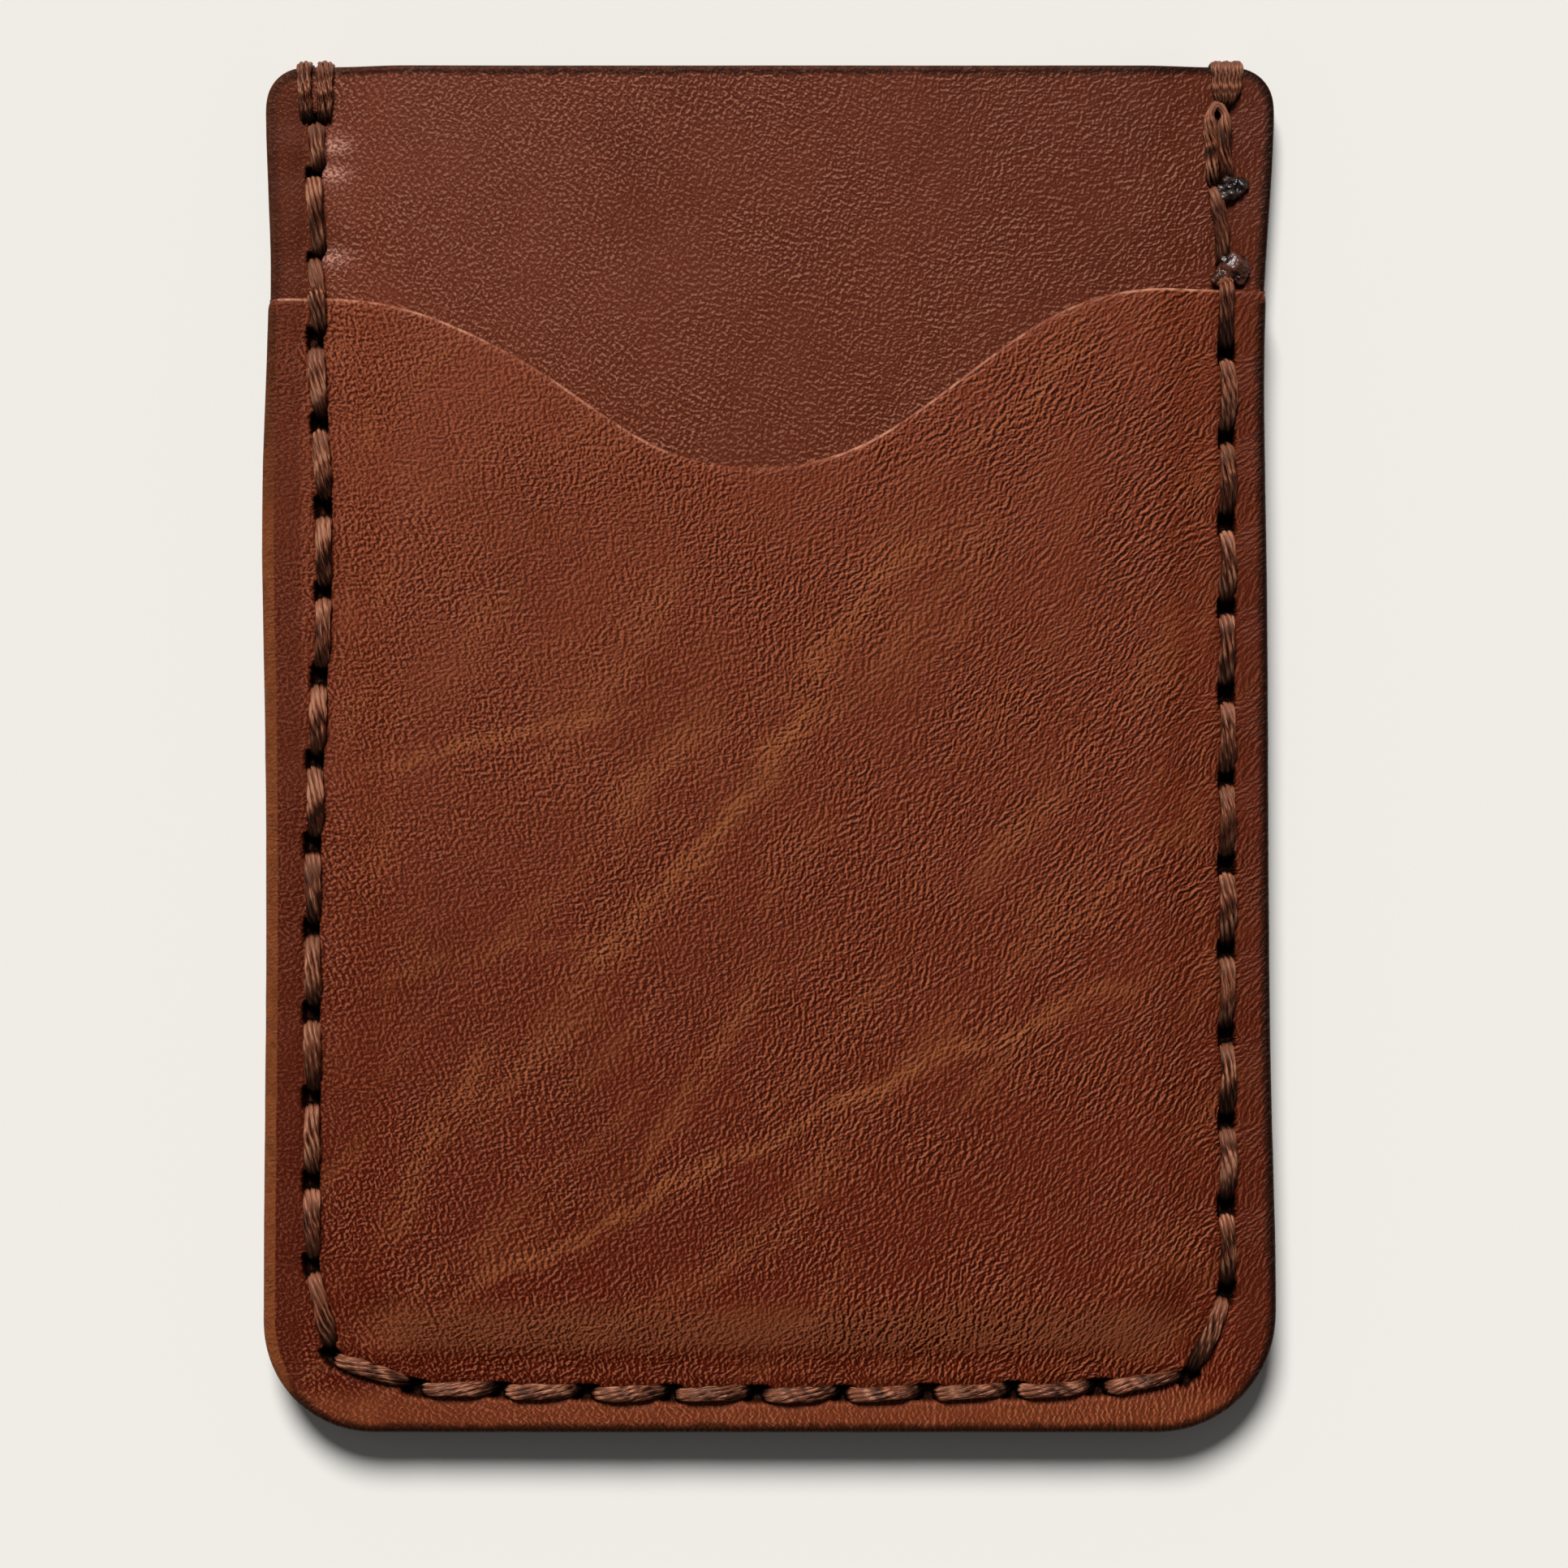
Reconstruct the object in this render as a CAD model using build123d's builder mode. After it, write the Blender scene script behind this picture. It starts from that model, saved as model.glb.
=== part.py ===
"""A hand-stitched leather card holder: three leather panels, glued and saddle-stitched round three sides.

The holder lies on its back. +Z points up out of the front panel, +Y towards the pocket mouths and +X to the
right as the front is seen. The origin is the middle of the back face. All sizes are in millimetres.

Between the back and middle panels is a full-height pocket, and between the middle and front panels a shorter
one with a thumb dip. Each panel in front of a pocket is formed: its seam margin lies flat on the panel below,
and inside the seam it steps up by the pocket's gap.
"""

import math
import os

from build123d import *

# Driving sizes
WIDTH = 70.0
TOP_EDGE = 47.1
BOTTOM_EDGE = -47.5
LEATHER = 1.3
GLUE = 0.1
POCKET_GAP = 0.9  # one 0.76 mm card slides in with 0.14 mm to spare
EDGE_ROUND = 0.3

# Outline
SIDE = WIDTH / 2
CORNER_TOP_LEFT = 2.6
CORNER_TOP_RIGHT = 2.7
CORNER_BOTTOM_LEFT = 7.5
CORNER_BOTTOM_RIGHT = 8.2
LEFT_SIDE = [(-34.84, -18.0), (-34.95, 4.0), (-35.08, 18.0), (-34.68, 34.4)]
RIGHT_SIDE = [(34.4, 33.0), (34.33, 14.0), (34.48, -6.0), (34.68, -24.0)]

# Front panel's top edge: two shoulders and the thumb dip between them
SHOULDER_LEFT = (-31.0, 30.9)
SHOULDER_RIGHT = (28.0, 31.5)
DIP = (-0.5, 19.1)
WAVE = [(-22.5, 29.15), (-14.5, 24.85), (-8.0, 20.65), DIP, (7.0, 21.0), (13.2, 25.25), (20.0, 29.8)]

# Formed region inside the seam, where the pockets are
FORM_LEFT = -30.1
FORM_RIGHT = 30.7
FORM_BOTTOM = -43.0
FORM_CORNER = 7.0
MIDDLE_SLOPE = 2.2  # width of the step up, seen from the front
FRONT_SLOPE = 3.4
FORM_OVERRUN = 12.0  # how far the formed region is carried past the mouths before it is trimmed

# Seam: hole pitch, hole size, and where the rows run
PITCH = 5.87
HOLE_RADIUS = 0.8
LEFT_ROW_X = -31.7
LEFT_ROW_WANDER = 0.85  # the hand-sewn row strays inwards here
LEFT_WANDER_Y = 13.7
LEFT_WANDER_LENGTH = 13.0
RIGHT_ROW_X = 31.55
BOTTOM_ROW_Y = -44.4
BOTTOM_ROW_SAG = 0.45
LEFT_ROW_TOP = 39.6
LEFT_ROW_BOTTOM = -36.0
RIGHT_ROW_TOP = 38.9
RIGHT_ROW_BOTTOM = -37.8
ROW_HOLES = 14
BOTTOM_HOLES = 9
BOTTOM_ROW_LEFT = -24.5
BOTTOM_ROW_RIGHT = 22.7
FIRST_HOLE = (-31.5, 43.3)
CORNER_HOLE_LEFT = (-30.3, -42.2)
CORNER_HOLE_RIGHT = (28.9, -43.6)
LAST_HOLE = (31.3, 44.2)

# Thread
THREAD = 0.6
THREAD_ALONG = 0.15  # where a pass stands in its hole, along the seam from the hole's middle
THREAD_ASIDE = 0.31  # and across it, so that the two passes miss each other
WRAP_ASIDE = 0.7
THREAD_BEND = 0.36
STEP_START = 0.25  # a stitch climbs over the front panel's edge between these two distances from it
STEP_END = 0.05
BEAD_RADIUS = 1.1
BEAD_HEIGHT = 0.95
SLACK = 0.02
FRONT_GROOVE = 0.4
BACK_GROOVE = 0.65
GROOVE_WIDTH = 1.35
END_HOLE_LENGTH = 2.2
END_HOLE_WIDTH = 1.5

# Heights
BACK_TOP = LEATHER
MIDDLE_BASE = BACK_TOP + GLUE
MIDDLE_TOP = MIDDLE_BASE + LEATHER
FRONT_BASE = MIDDLE_TOP + GLUE
FRONT_TOP = FRONT_BASE + LEATHER
MIDDLE_RISE = POCKET_GAP - GLUE
FRONT_RISE = 2 * MIDDLE_RISE
BACK_FLOAT_Z = THREAD / 2 + 0.05
MIDDLE_FLOAT_Z = MIDDLE_TOP - FRONT_GROOVE + THREAD / 2 + SLACK
FRONT_FLOAT_Z = FRONT_TOP - FRONT_GROOVE + THREAD / 2 + SLACK

os.makedirs("parts", exist_ok=True)


def export_piece(builder, name):
    """Labels the finished piece and writes its STEP file."""
    builder.part.label = name
    export_step(builder.part, f"parts/{name}.step")


def evenly(first, last, count):
    """Evenly spaced values from first to last."""
    return [first + (last - first) * i / (count - 1) for i in range(count)]


# ---------------------------------------------------------------- outlines

with BuildSketch() as outline:
    with BuildLine():
        Spline(
            [(-SIDE, BOTTOM_EDGE + CORNER_BOTTOM_LEFT), *LEFT_SIDE, (-SIDE, TOP_EDGE - CORNER_TOP_LEFT)],
            tangents=[(0, 1), (0, 1)],
        )
        TangentArc(
            (-SIDE, TOP_EDGE - CORNER_TOP_LEFT), (CORNER_TOP_LEFT - SIDE, TOP_EDGE), tangent=(0, 1)
        )
        Line((CORNER_TOP_LEFT - SIDE, TOP_EDGE), (SIDE - CORNER_TOP_RIGHT, TOP_EDGE))
        TangentArc(
            (SIDE - CORNER_TOP_RIGHT, TOP_EDGE), (SIDE, TOP_EDGE - CORNER_TOP_RIGHT), tangent=(1, 0)
        )
        Spline(
            [(SIDE, TOP_EDGE - CORNER_TOP_RIGHT), *RIGHT_SIDE, (SIDE, BOTTOM_EDGE + CORNER_BOTTOM_RIGHT)],
            tangents=[(0, -1), (0, -1)],
        )
        TangentArc(
            (SIDE, BOTTOM_EDGE + CORNER_BOTTOM_RIGHT),
            (SIDE - CORNER_BOTTOM_RIGHT, BOTTOM_EDGE),
            tangent=(0, -1),
        )
        Line((SIDE - CORNER_BOTTOM_RIGHT, BOTTOM_EDGE), (CORNER_BOTTOM_LEFT - SIDE, BOTTOM_EDGE))
        TangentArc(
            (CORNER_BOTTOM_LEFT - SIDE, BOTTOM_EDGE),
            (-SIDE, BOTTOM_EDGE + CORNER_BOTTOM_LEFT),
            tangent=(-1, 0),
        )
    make_face()

# Everything below the front panel's wavy top edge
with BuildSketch() as below_wave:
    with BuildLine():
        Line((-SIDE - 1, SHOULDER_LEFT[1]), SHOULDER_LEFT)
        Spline([SHOULDER_LEFT, *WAVE, SHOULDER_RIGHT], tangents=[(1, 0), (1, 0)])
        Polyline(
            SHOULDER_RIGHT,
            (SIDE + 1, SHOULDER_RIGHT[1]),
            (SIDE + 1, BOTTOM_EDGE - 1),
            (-SIDE - 1, BOTTOM_EDGE - 1),
            (-SIDE - 1, SHOULDER_LEFT[1]),
        )
    make_face()

with BuildSketch() as front_outline:
    add(outline.sketch)
    add(below_wave.sketch, mode=Mode.INTERSECT)

# The region inside the seam, open past the mouths
with BuildSketch() as formed:
    form_height = TOP_EDGE + FORM_OVERRUN - FORM_BOTTOM
    with Locations(((FORM_LEFT + FORM_RIGHT) / 2, FORM_BOTTOM + form_height / 2)):
        Rectangle(FORM_RIGHT - FORM_LEFT, form_height)
    fillet(formed.vertices().group_by(Axis.Y)[0], radius=FORM_CORNER)


# ---------------------------------------------------------------- seam


def left_row_x(y):
    """The left row strays inwards a little above the middle."""
    return LEFT_ROW_X + LEFT_ROW_WANDER * math.exp(-(((y - LEFT_WANDER_Y) / LEFT_WANDER_LENGTH) ** 2))


def bottom_row_y(x):
    """The bottom row sags slightly between its corners."""
    half = (BOTTOM_ROW_RIGHT - BOTTOM_ROW_LEFT) / 2
    middle = (BOTTOM_ROW_RIGHT + BOTTOM_ROW_LEFT) / 2
    return BOTTOM_ROW_Y - BOTTOM_ROW_SAG * (1 - ((x - middle) / half) ** 2)


holes = (
    [FIRST_HOLE]
    + [(left_row_x(y), y) for y in evenly(LEFT_ROW_TOP, LEFT_ROW_BOTTOM, ROW_HOLES)]
    + [CORNER_HOLE_LEFT]
    + [(x, bottom_row_y(x)) for x in evenly(BOTTOM_ROW_LEFT, BOTTOM_ROW_RIGHT, BOTTOM_HOLES)]
    + [CORNER_HOLE_RIGHT]
    + [(RIGHT_ROW_X, y) for y in evenly(RIGHT_ROW_BOTTOM, RIGHT_ROW_TOP, ROW_HOLES)]
    + [LAST_HOLE]
)
holes = [Vector(x, y) for x, y in holes]
END_HOLES = (holes[0], holes[-1])


def front_edge_y(x):
    """The height of the front panel's top edge on a seam row."""
    return SHOULDER_LEFT[1] if x < 0 else SHOULDER_RIGHT[1]


def on_front_panel(point):
    return point.Y < front_edge_y(point.X)


def heading(k):
    """The seam's direction at hole k: the mean of its two stitches' directions."""
    before = (holes[k] - holes[k - 1]).normalized() if k > 0 else None
    after = (holes[k + 1] - holes[k]).normalized() if k < len(holes) - 1 else None
    return ((before or after) + (after or before)).normalized()


def beside_hole(k, along, aside):
    """A point in hole k, measured along the seam and towards its inner side."""
    ahead = heading(k)
    inner = Vector(-ahead.Y, ahead.X)
    return holes[k] + ahead * along + inner * aside


def hole_sketch(points, base):
    """The stitch holes at these points, drawn at height base."""
    with BuildSketch(Plane.XY.offset(base)) as rims:
        for point in points:
            with Locations(point):
                if point in END_HOLES:
                    SlotOverall(END_HOLE_LENGTH, END_HOLE_WIDTH)
                else:
                    Circle(HOLE_RADIUS)
    return rims.sketch


def groove_sketch(spans, base):
    """The grooves that the stitches lie in, drawn at height base along each span."""
    with BuildSketch(Plane.XY.offset(base)) as grooves:
        for a, b in spans:
            with Locations(Location((a + b) / 2, (0, 0, math.degrees(math.atan2(b.Y - a.Y, b.X - a.X))))):
                SlotCenterToCenter((b - a).length, GROOVE_WIDTH)
    return grooves.sketch


stitches = list(zip(holes, holes[1:]))
front_holes = [p for p in holes if on_front_panel(p)]
front_stitches = [(a, b) for a, b in stitches if on_front_panel(a) or on_front_panel(b)]
middle_stitches = [(a, b) for a, b in stitches if not (on_front_panel(a) and on_front_panel(b))]
wrap_spans = [(p, Vector(p.X, TOP_EDGE + 1)) for p in END_HOLES]
wrap_spans = [
    (a + Vector(side * WRAP_ASIDE, 0), b + Vector(side * WRAP_ASIDE, 0))
    for a, b in wrap_spans
    for side in (-1, 1)
]


# ---------------------------------------------------------------- leather panels


def formed_block(base, rise, slope):
    """A slab with the pocket region stepped up by rise, wider than any panel."""
    with BuildPart() as block:
        with BuildSketch(Plane.XY.offset(base)):
            Rectangle(2 * WIDTH, 2 * WIDTH)
        extrude(amount=LEATHER)
        with BuildSketch(Plane.XY.offset(base + LEATHER)):
            add(formed.sketch)
        extrude(amount=rise, taper=math.degrees(math.atan2(slope, rise)))
    return block.part


def rim_edges(builder, height):
    """The panel's edges at this height that follow the outline."""
    rim = outline.face().outer_wire()
    level = builder.edges().filter_by_position(Axis.Z, height - 0.01, height + 0.01)
    return [edge for edge in level if rim.distance_to((edge @ 0.5) - Vector(0, 0, height)) < 0.01]


with BuildPart() as back_panel:
    with BuildSketch():
        add(outline.sketch)
    extrude(amount=LEATHER)
    fillet(rim_edges(back_panel, 0), radius=EDGE_ROUND)
    extrude(hole_sketch(holes, 0), amount=LEATHER, mode=Mode.SUBTRACT)
    extrude(groove_sketch(stitches + wrap_spans, 0), amount=BACK_GROOVE, mode=Mode.SUBTRACT)

middle_slab = formed_block(MIDDLE_BASE, MIDDLE_RISE, MIDDLE_SLOPE)
with BuildPart() as middle_panel:
    with BuildSketch(Plane.XY.offset(MIDDLE_BASE)):
        add(outline.sketch)
    extrude(amount=LEATHER + MIDDLE_RISE)
    add(middle_slab, mode=Mode.INTERSECT)
    with BuildSketch(Plane.XY.offset(MIDDLE_BASE)):
        add(formed.sketch)
    extrude(amount=MIDDLE_RISE, taper=math.degrees(math.atan2(MIDDLE_SLOPE, MIDDLE_RISE)), mode=Mode.SUBTRACT)
    extrude(hole_sketch(holes, MIDDLE_BASE), amount=LEATHER + MIDDLE_RISE, mode=Mode.SUBTRACT)
    groove_floor = MIDDLE_TOP - FRONT_GROOVE
    extrude(groove_sketch(middle_stitches + wrap_spans, groove_floor), amount=1, mode=Mode.SUBTRACT)

front_slab = formed_block(FRONT_BASE, FRONT_RISE, FRONT_SLOPE)
with BuildPart() as front_panel:
    with BuildSketch(Plane.XY.offset(FRONT_BASE)):
        add(front_outline.sketch)
    extrude(amount=LEATHER + FRONT_RISE)
    add(front_slab, mode=Mode.INTERSECT)
    with BuildSketch(Plane.XY.offset(FRONT_BASE)):
        add(formed.sketch)
    extrude(amount=FRONT_RISE, taper=math.degrees(math.atan2(FRONT_SLOPE, FRONT_RISE)), mode=Mode.SUBTRACT)
    fillet(rim_edges(front_panel, FRONT_TOP), radius=EDGE_ROUND)
    extrude(hole_sketch(front_holes, FRONT_BASE), amount=LEATHER + FRONT_RISE, mode=Mode.SUBTRACT)
    groove_floor = FRONT_TOP - FRONT_GROOVE
    extrude(groove_sketch(front_stitches, groove_floor), amount=1, mode=Mode.SUBTRACT)


# ---------------------------------------------------------------- glue strips


def glue_strip(panel_outline, points, base):
    """The cement between two panels: the seam margin on three sides, with the stitch holes through it."""
    with BuildPart() as strip:
        with BuildSketch(Plane.XY.offset(base)):
            add(panel_outline.sketch)
            add(formed.sketch, mode=Mode.SUBTRACT)
        extrude(amount=GLUE)
        extrude(hole_sketch(points, base), amount=GLUE, mode=Mode.SUBTRACT)
    return strip


rear_glue_strip = glue_strip(outline, holes, BACK_TOP)
front_glue_strip = glue_strip(front_outline, front_holes, MIDDLE_TOP)


# ---------------------------------------------------------------- thread


def surface_z(k):
    """The height at which a stitch lies on the front at hole k."""
    return FRONT_FLOAT_Z if on_front_panel(holes[k]) else MIDDLE_FLOAT_Z


def aside(k):
    """How far a pass stands to one side in hole k; the wraps leave only the middle of the end holes."""
    return 0 if holes[k] in END_HOLES else THREAD_ASIDE


def front_float(k):
    """Points of the stitch on the front from hole k to hole k + 1, with a step over the front panel's edge."""
    start = beside_hole(k, THREAD_ALONG, -aside(k))
    end = beside_hole(k + 1, -THREAD_ALONG, aside(k + 1))
    start_z, end_z = surface_z(k), surface_z(k + 1)
    points = [Vector(start.X, start.Y, start_z), Vector(end.X, end.Y, end_z)]
    if start_z != end_z:
        edge_y = front_edge_y(start.X) + THREAD / 2 + SLACK
        steps = [(edge_y + STEP_START, MIDDLE_FLOAT_Z), (edge_y + STEP_END, FRONT_FLOAT_Z)]
        if start_z > end_z:
            steps.reverse()
        for i, (y, z) in enumerate(steps):
            flat = start + (end - start) * ((y - start.Y) / (end.Y - start.Y))
            points.insert(1 + i, Vector(flat.X, flat.Y, z))
    return points


def back_float(k):
    """Points of the stitch on the back from hole k to hole k + 1."""
    start = beside_hole(k, THREAD_ALONG, aside(k))
    end = beside_hole(k + 1, -THREAD_ALONG, -aside(k + 1))
    return [Vector(start.X, start.Y, BACK_FLOAT_Z), Vector(end.X, end.Y, BACK_FLOAT_Z)]


def needle_path(first_on_front):
    """One needle's half of the thread: its stitches lie on the front and the back by turns."""
    points = []
    for k in range(len(stitches)):
        on_front = (k % 2 == 0) == first_on_front
        points += front_float(k) if on_front else back_float(k)
    tail_z = MIDDLE_BASE + (SLACK if points[-1].Z > MIDDLE_BASE else -SLACK)
    return points + [Vector(points[-1].X, points[-1].Y, tail_z)]


def thread_along(points, closed=False):
    """A round thread whose line is straight runs joined by small arcs."""
    with BuildPart() as thread:
        with BuildLine():
            line = FilletPolyline(*points, radius=THREAD_BEND, close=closed)
        with BuildSketch(Plane(line @ 0, z_dir=line % 0)):
            Circle(THREAD / 2)
        sweep()
    return thread


# One thread, worked from its middle in the first hole with a needle at each end
seam_thread = thread_along(needle_path(False)[::-1] + needle_path(True))


def edge_wrap(hole, side):
    """A turn of thread through an end hole and over the panels' top edge."""
    x = hole.X + side * WRAP_ASIDE
    low_y = hole.Y + THREAD_ALONG
    high_y = TOP_EDGE + THREAD / 2 + SLACK
    corners = [(low_y, BACK_FLOAT_Z), (high_y, BACK_FLOAT_Z), (high_y, MIDDLE_FLOAT_Z), (low_y, MIDDLE_FLOAT_Z)]
    return thread_along([Vector(x, y, z) for y, z in corners], closed=True)


wraps = {
    "edge_wrap_left_outer": edge_wrap(END_HOLES[0], -1),
    "edge_wrap_left_inner": edge_wrap(END_HOLES[0], 1),
    "edge_wrap_right_inner": edge_wrap(END_HOLES[1], -1),
    "edge_wrap_right_outer": edge_wrap(END_HOLES[1], 1),
}



def end_bead(hole):
    """A thread end melted down into a low bead over its hole, grown round the stitch beneath."""
    with BuildPart() as bead:
        with BuildSketch(Plane.XZ.offset(-hole.Y)):
            with BuildLine():
                Line((hole.X, MIDDLE_TOP + BEAD_HEIGHT), (hole.X, MIDDLE_TOP))
                Line((hole.X, MIDDLE_TOP), (hole.X + BEAD_RADIUS, MIDDLE_TOP))
                TangentArc(
                    (hole.X + BEAD_RADIUS, MIDDLE_TOP), (hole.X, MIDDLE_TOP + BEAD_HEIGHT), tangent=(0, 1)
                )
            make_face()
        revolve(axis=Axis((hole.X, hole.Y, 0), (0, 0, 1)))
        add(seam_thread.part, mode=Mode.SUBTRACT)
    return bead


upper_bead = end_bead(holes[-2])
lower_bead = end_bead(holes[-3])

export_piece(back_panel, "back_panel")
export_piece(middle_panel, "middle_panel")
export_piece(front_panel, "front_panel")
export_piece(rear_glue_strip, "rear_glue_strip")
export_piece(front_glue_strip, "front_glue_strip")
export_piece(seam_thread, "seam_thread")
for wrap_name, wrap in wraps.items():
    export_piece(wrap, wrap_name)
export_piece(upper_bead, "thread_end_bead_upper")
export_piece(lower_bead, "thread_end_bead_lower")
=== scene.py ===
"""The looks of a hand-stitched leather card holder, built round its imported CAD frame.

The holder lies on its back: +Z points out of the front panel and +Y towards the pocket mouths.
Shapes are worked out in millimetres, and become metres when a mesh is made.
"""

import math

import bpy
import numpy as np
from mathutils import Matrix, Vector, geometry


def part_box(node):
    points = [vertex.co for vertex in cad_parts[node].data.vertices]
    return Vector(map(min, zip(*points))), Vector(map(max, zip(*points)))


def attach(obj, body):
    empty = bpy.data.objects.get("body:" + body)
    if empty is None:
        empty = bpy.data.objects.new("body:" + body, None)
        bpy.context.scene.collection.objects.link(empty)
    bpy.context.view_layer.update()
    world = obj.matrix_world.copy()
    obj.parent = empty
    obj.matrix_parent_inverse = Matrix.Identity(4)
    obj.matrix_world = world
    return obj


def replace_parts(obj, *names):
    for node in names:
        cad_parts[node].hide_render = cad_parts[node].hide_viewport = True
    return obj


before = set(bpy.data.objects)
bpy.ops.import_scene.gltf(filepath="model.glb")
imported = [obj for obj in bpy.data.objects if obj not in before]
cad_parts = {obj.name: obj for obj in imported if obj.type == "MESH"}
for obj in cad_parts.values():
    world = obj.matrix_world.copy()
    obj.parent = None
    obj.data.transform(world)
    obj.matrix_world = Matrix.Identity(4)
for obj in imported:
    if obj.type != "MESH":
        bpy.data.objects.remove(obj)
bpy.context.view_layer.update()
MM = 0.001
BODY = "root"

# Outline and heights, as in the CAD
TOP_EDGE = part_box("back_panel")[1].y / MM
BOTTOM_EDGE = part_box("back_panel")[0].y / MM
SIDE = 35.0
LEATHER = 1.3
GLUE = 0.1
POCKET_GAP = 0.9
CORNERS = {"top_left": 2.6, "top_right": 2.7, "bottom_left": 7.5, "bottom_right": 8.2}
LEFT_SIDE = [(-18.0, -34.84), (4.0, -34.95), (18.0, -35.08), (34.4, -34.68)]
RIGHT_SIDE = [(-24.0, 34.68), (-6.0, 34.48), (14.0, 34.33), (33.0, 34.4)]
SHOULDER_LEFT, SHOULDER_RIGHT = (-31.0, 30.9), (28.0, 31.5)
DIP = (-0.5, 19.1)
BETWEEN_LEFT = [(-22.5, 29.15), (-14.5, 24.85), (-8.0, 20.65)]
BETWEEN_RIGHT = [(7.0, 21.0), (13.2, 25.25), (20.0, 29.8)]
WAVE = [SHOULDER_LEFT, *BETWEEN_LEFT, DIP, *BETWEEN_RIGHT, SHOULDER_RIGHT]
BACK_TOP = LEATHER
MIDDLE_BASE = BACK_TOP + GLUE
MIDDLE_TOP = MIDDLE_BASE + LEATHER
FRONT_BASE = MIDDLE_TOP + GLUE
FRONT_TOP = FRONT_BASE + LEATHER
MIDDLE_RISE = POCKET_GAP - GLUE
FRONT_RISE = 2 * MIDDLE_RISE
EDGE_STEP = 0.36  # between the points of a panel's outline

# Where the leather is formed over the pockets
FORM_LEFT, FORM_RIGHT, FORM_BOTTOM = -30.1, 30.7, -43.0
FORM_CORNER = 7.0
FORM_SLOPE = 5.0

# Seam
ROW_HOLES, BOTTOM_HOLES = 14, 9
FIRST_HOLE, LAST_HOLE = (-31.5, 43.3), (31.3, 44.2)
CORNER_HOLE_LEFT, CORNER_HOLE_RIGHT = (-30.3, -42.2), (28.9, -43.6)

rng = np.random.default_rng(7)


# ---------------- plain maths


def smoothstep(low, high, x):
    t = np.clip((x - low) / (high - low), 0, 1)
    return t * t * (3 - 2 * t)


def smooth_noise(x, y, seed):
    """Noise between -1 and 1 whose features are about one unit across."""
    lattice = np.random.default_rng(seed).uniform(-1, 1, (256, 256))
    xi, yi = np.floor(x).astype(int), np.floor(y).astype(int)
    tx, ty = x - xi, y - yi
    tx, ty = tx * tx * (3 - 2 * tx), ty * ty * (3 - 2 * ty)
    low = lattice[xi % 256, yi % 256] * (1 - tx) + lattice[(xi + 1) % 256, yi % 256] * tx
    high = lattice[xi % 256, (yi + 1) % 256] * (1 - tx) + lattice[(xi + 1) % 256, (yi + 1) % 256] * tx
    return low * (1 - ty) + high * ty


def level_ended_spline(knots, x):
    """A cubic spline through the knots, level at both ends."""
    kx, ky = np.array(knots, float).T
    h = np.diff(kx)
    n = len(kx)
    matrix, right = np.eye(n), np.zeros(n)
    for i in range(1, n - 1):
        matrix[i, i - 1 : i + 2] = 1 / h[i - 1], 2 / h[i - 1] + 2 / h[i], 1 / h[i]
        right[i] = 3 * ((ky[i] - ky[i - 1]) / h[i - 1] ** 2 + (ky[i + 1] - ky[i]) / h[i] ** 2)
    slope = np.linalg.solve(matrix, right)
    x = np.clip(x, kx[0], kx[-1])
    i = np.clip(np.searchsorted(kx, x) - 1, 0, n - 2)
    t = (x - kx[i]) / h[i]
    ends = (1 + 2 * t) * (1 - t) ** 2 * ky[i] + t * t * (3 - 2 * t) * ky[i + 1]
    return ends + t * (1 - t) ** 2 * h[i] * slope[i] + t * t * (t - 1) * h[i] * slope[i + 1]


def unit(vectors):
    """The same vectors, one a row, each made one long."""
    return vectors / np.linalg.norm(vectors, axis=1)[:, None]


def lengths_along(points):
    """How far along the line through them each point lies."""
    return np.r_[0, np.cumsum(np.linalg.norm(np.diff(points, axis=0), axis=1))]


def resample(points, spacing, closed=False):
    """The same line with evenly spaced points."""
    points = np.asarray(points, float)
    if closed:
        points = np.vstack([points, points[:1]])
    along = lengths_along(points)
    count = max(int(round(along[-1] / spacing)), 2)
    want = np.linspace(0, along[-1], count + 1)
    if closed:
        want = want[:-1]
    return np.stack([np.interp(want, along, points[:, i]) for i in range(points.shape[1])], axis=1)


# ---------------- outlines


def left_x(y):
    low, high = (BOTTOM_EDGE + CORNERS["bottom_left"], -SIDE), (TOP_EDGE - CORNERS["top_left"], -SIDE)
    return level_ended_spline([low, *LEFT_SIDE, high], y)


def right_x(y):
    low, high = (BOTTOM_EDGE + CORNERS["bottom_right"], SIDE), (TOP_EDGE - CORNERS["top_right"], SIDE)
    return level_ended_spline([low, *RIGHT_SIDE, high], y)


def arc(x, y, radius, start, end):
    turn = np.radians(np.linspace(start, end, 24))
    return np.stack([x + radius * np.cos(turn), y + radius * np.sin(turn)], axis=1)


def wave_y(x):
    return level_ended_spline(WAVE, x)


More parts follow.
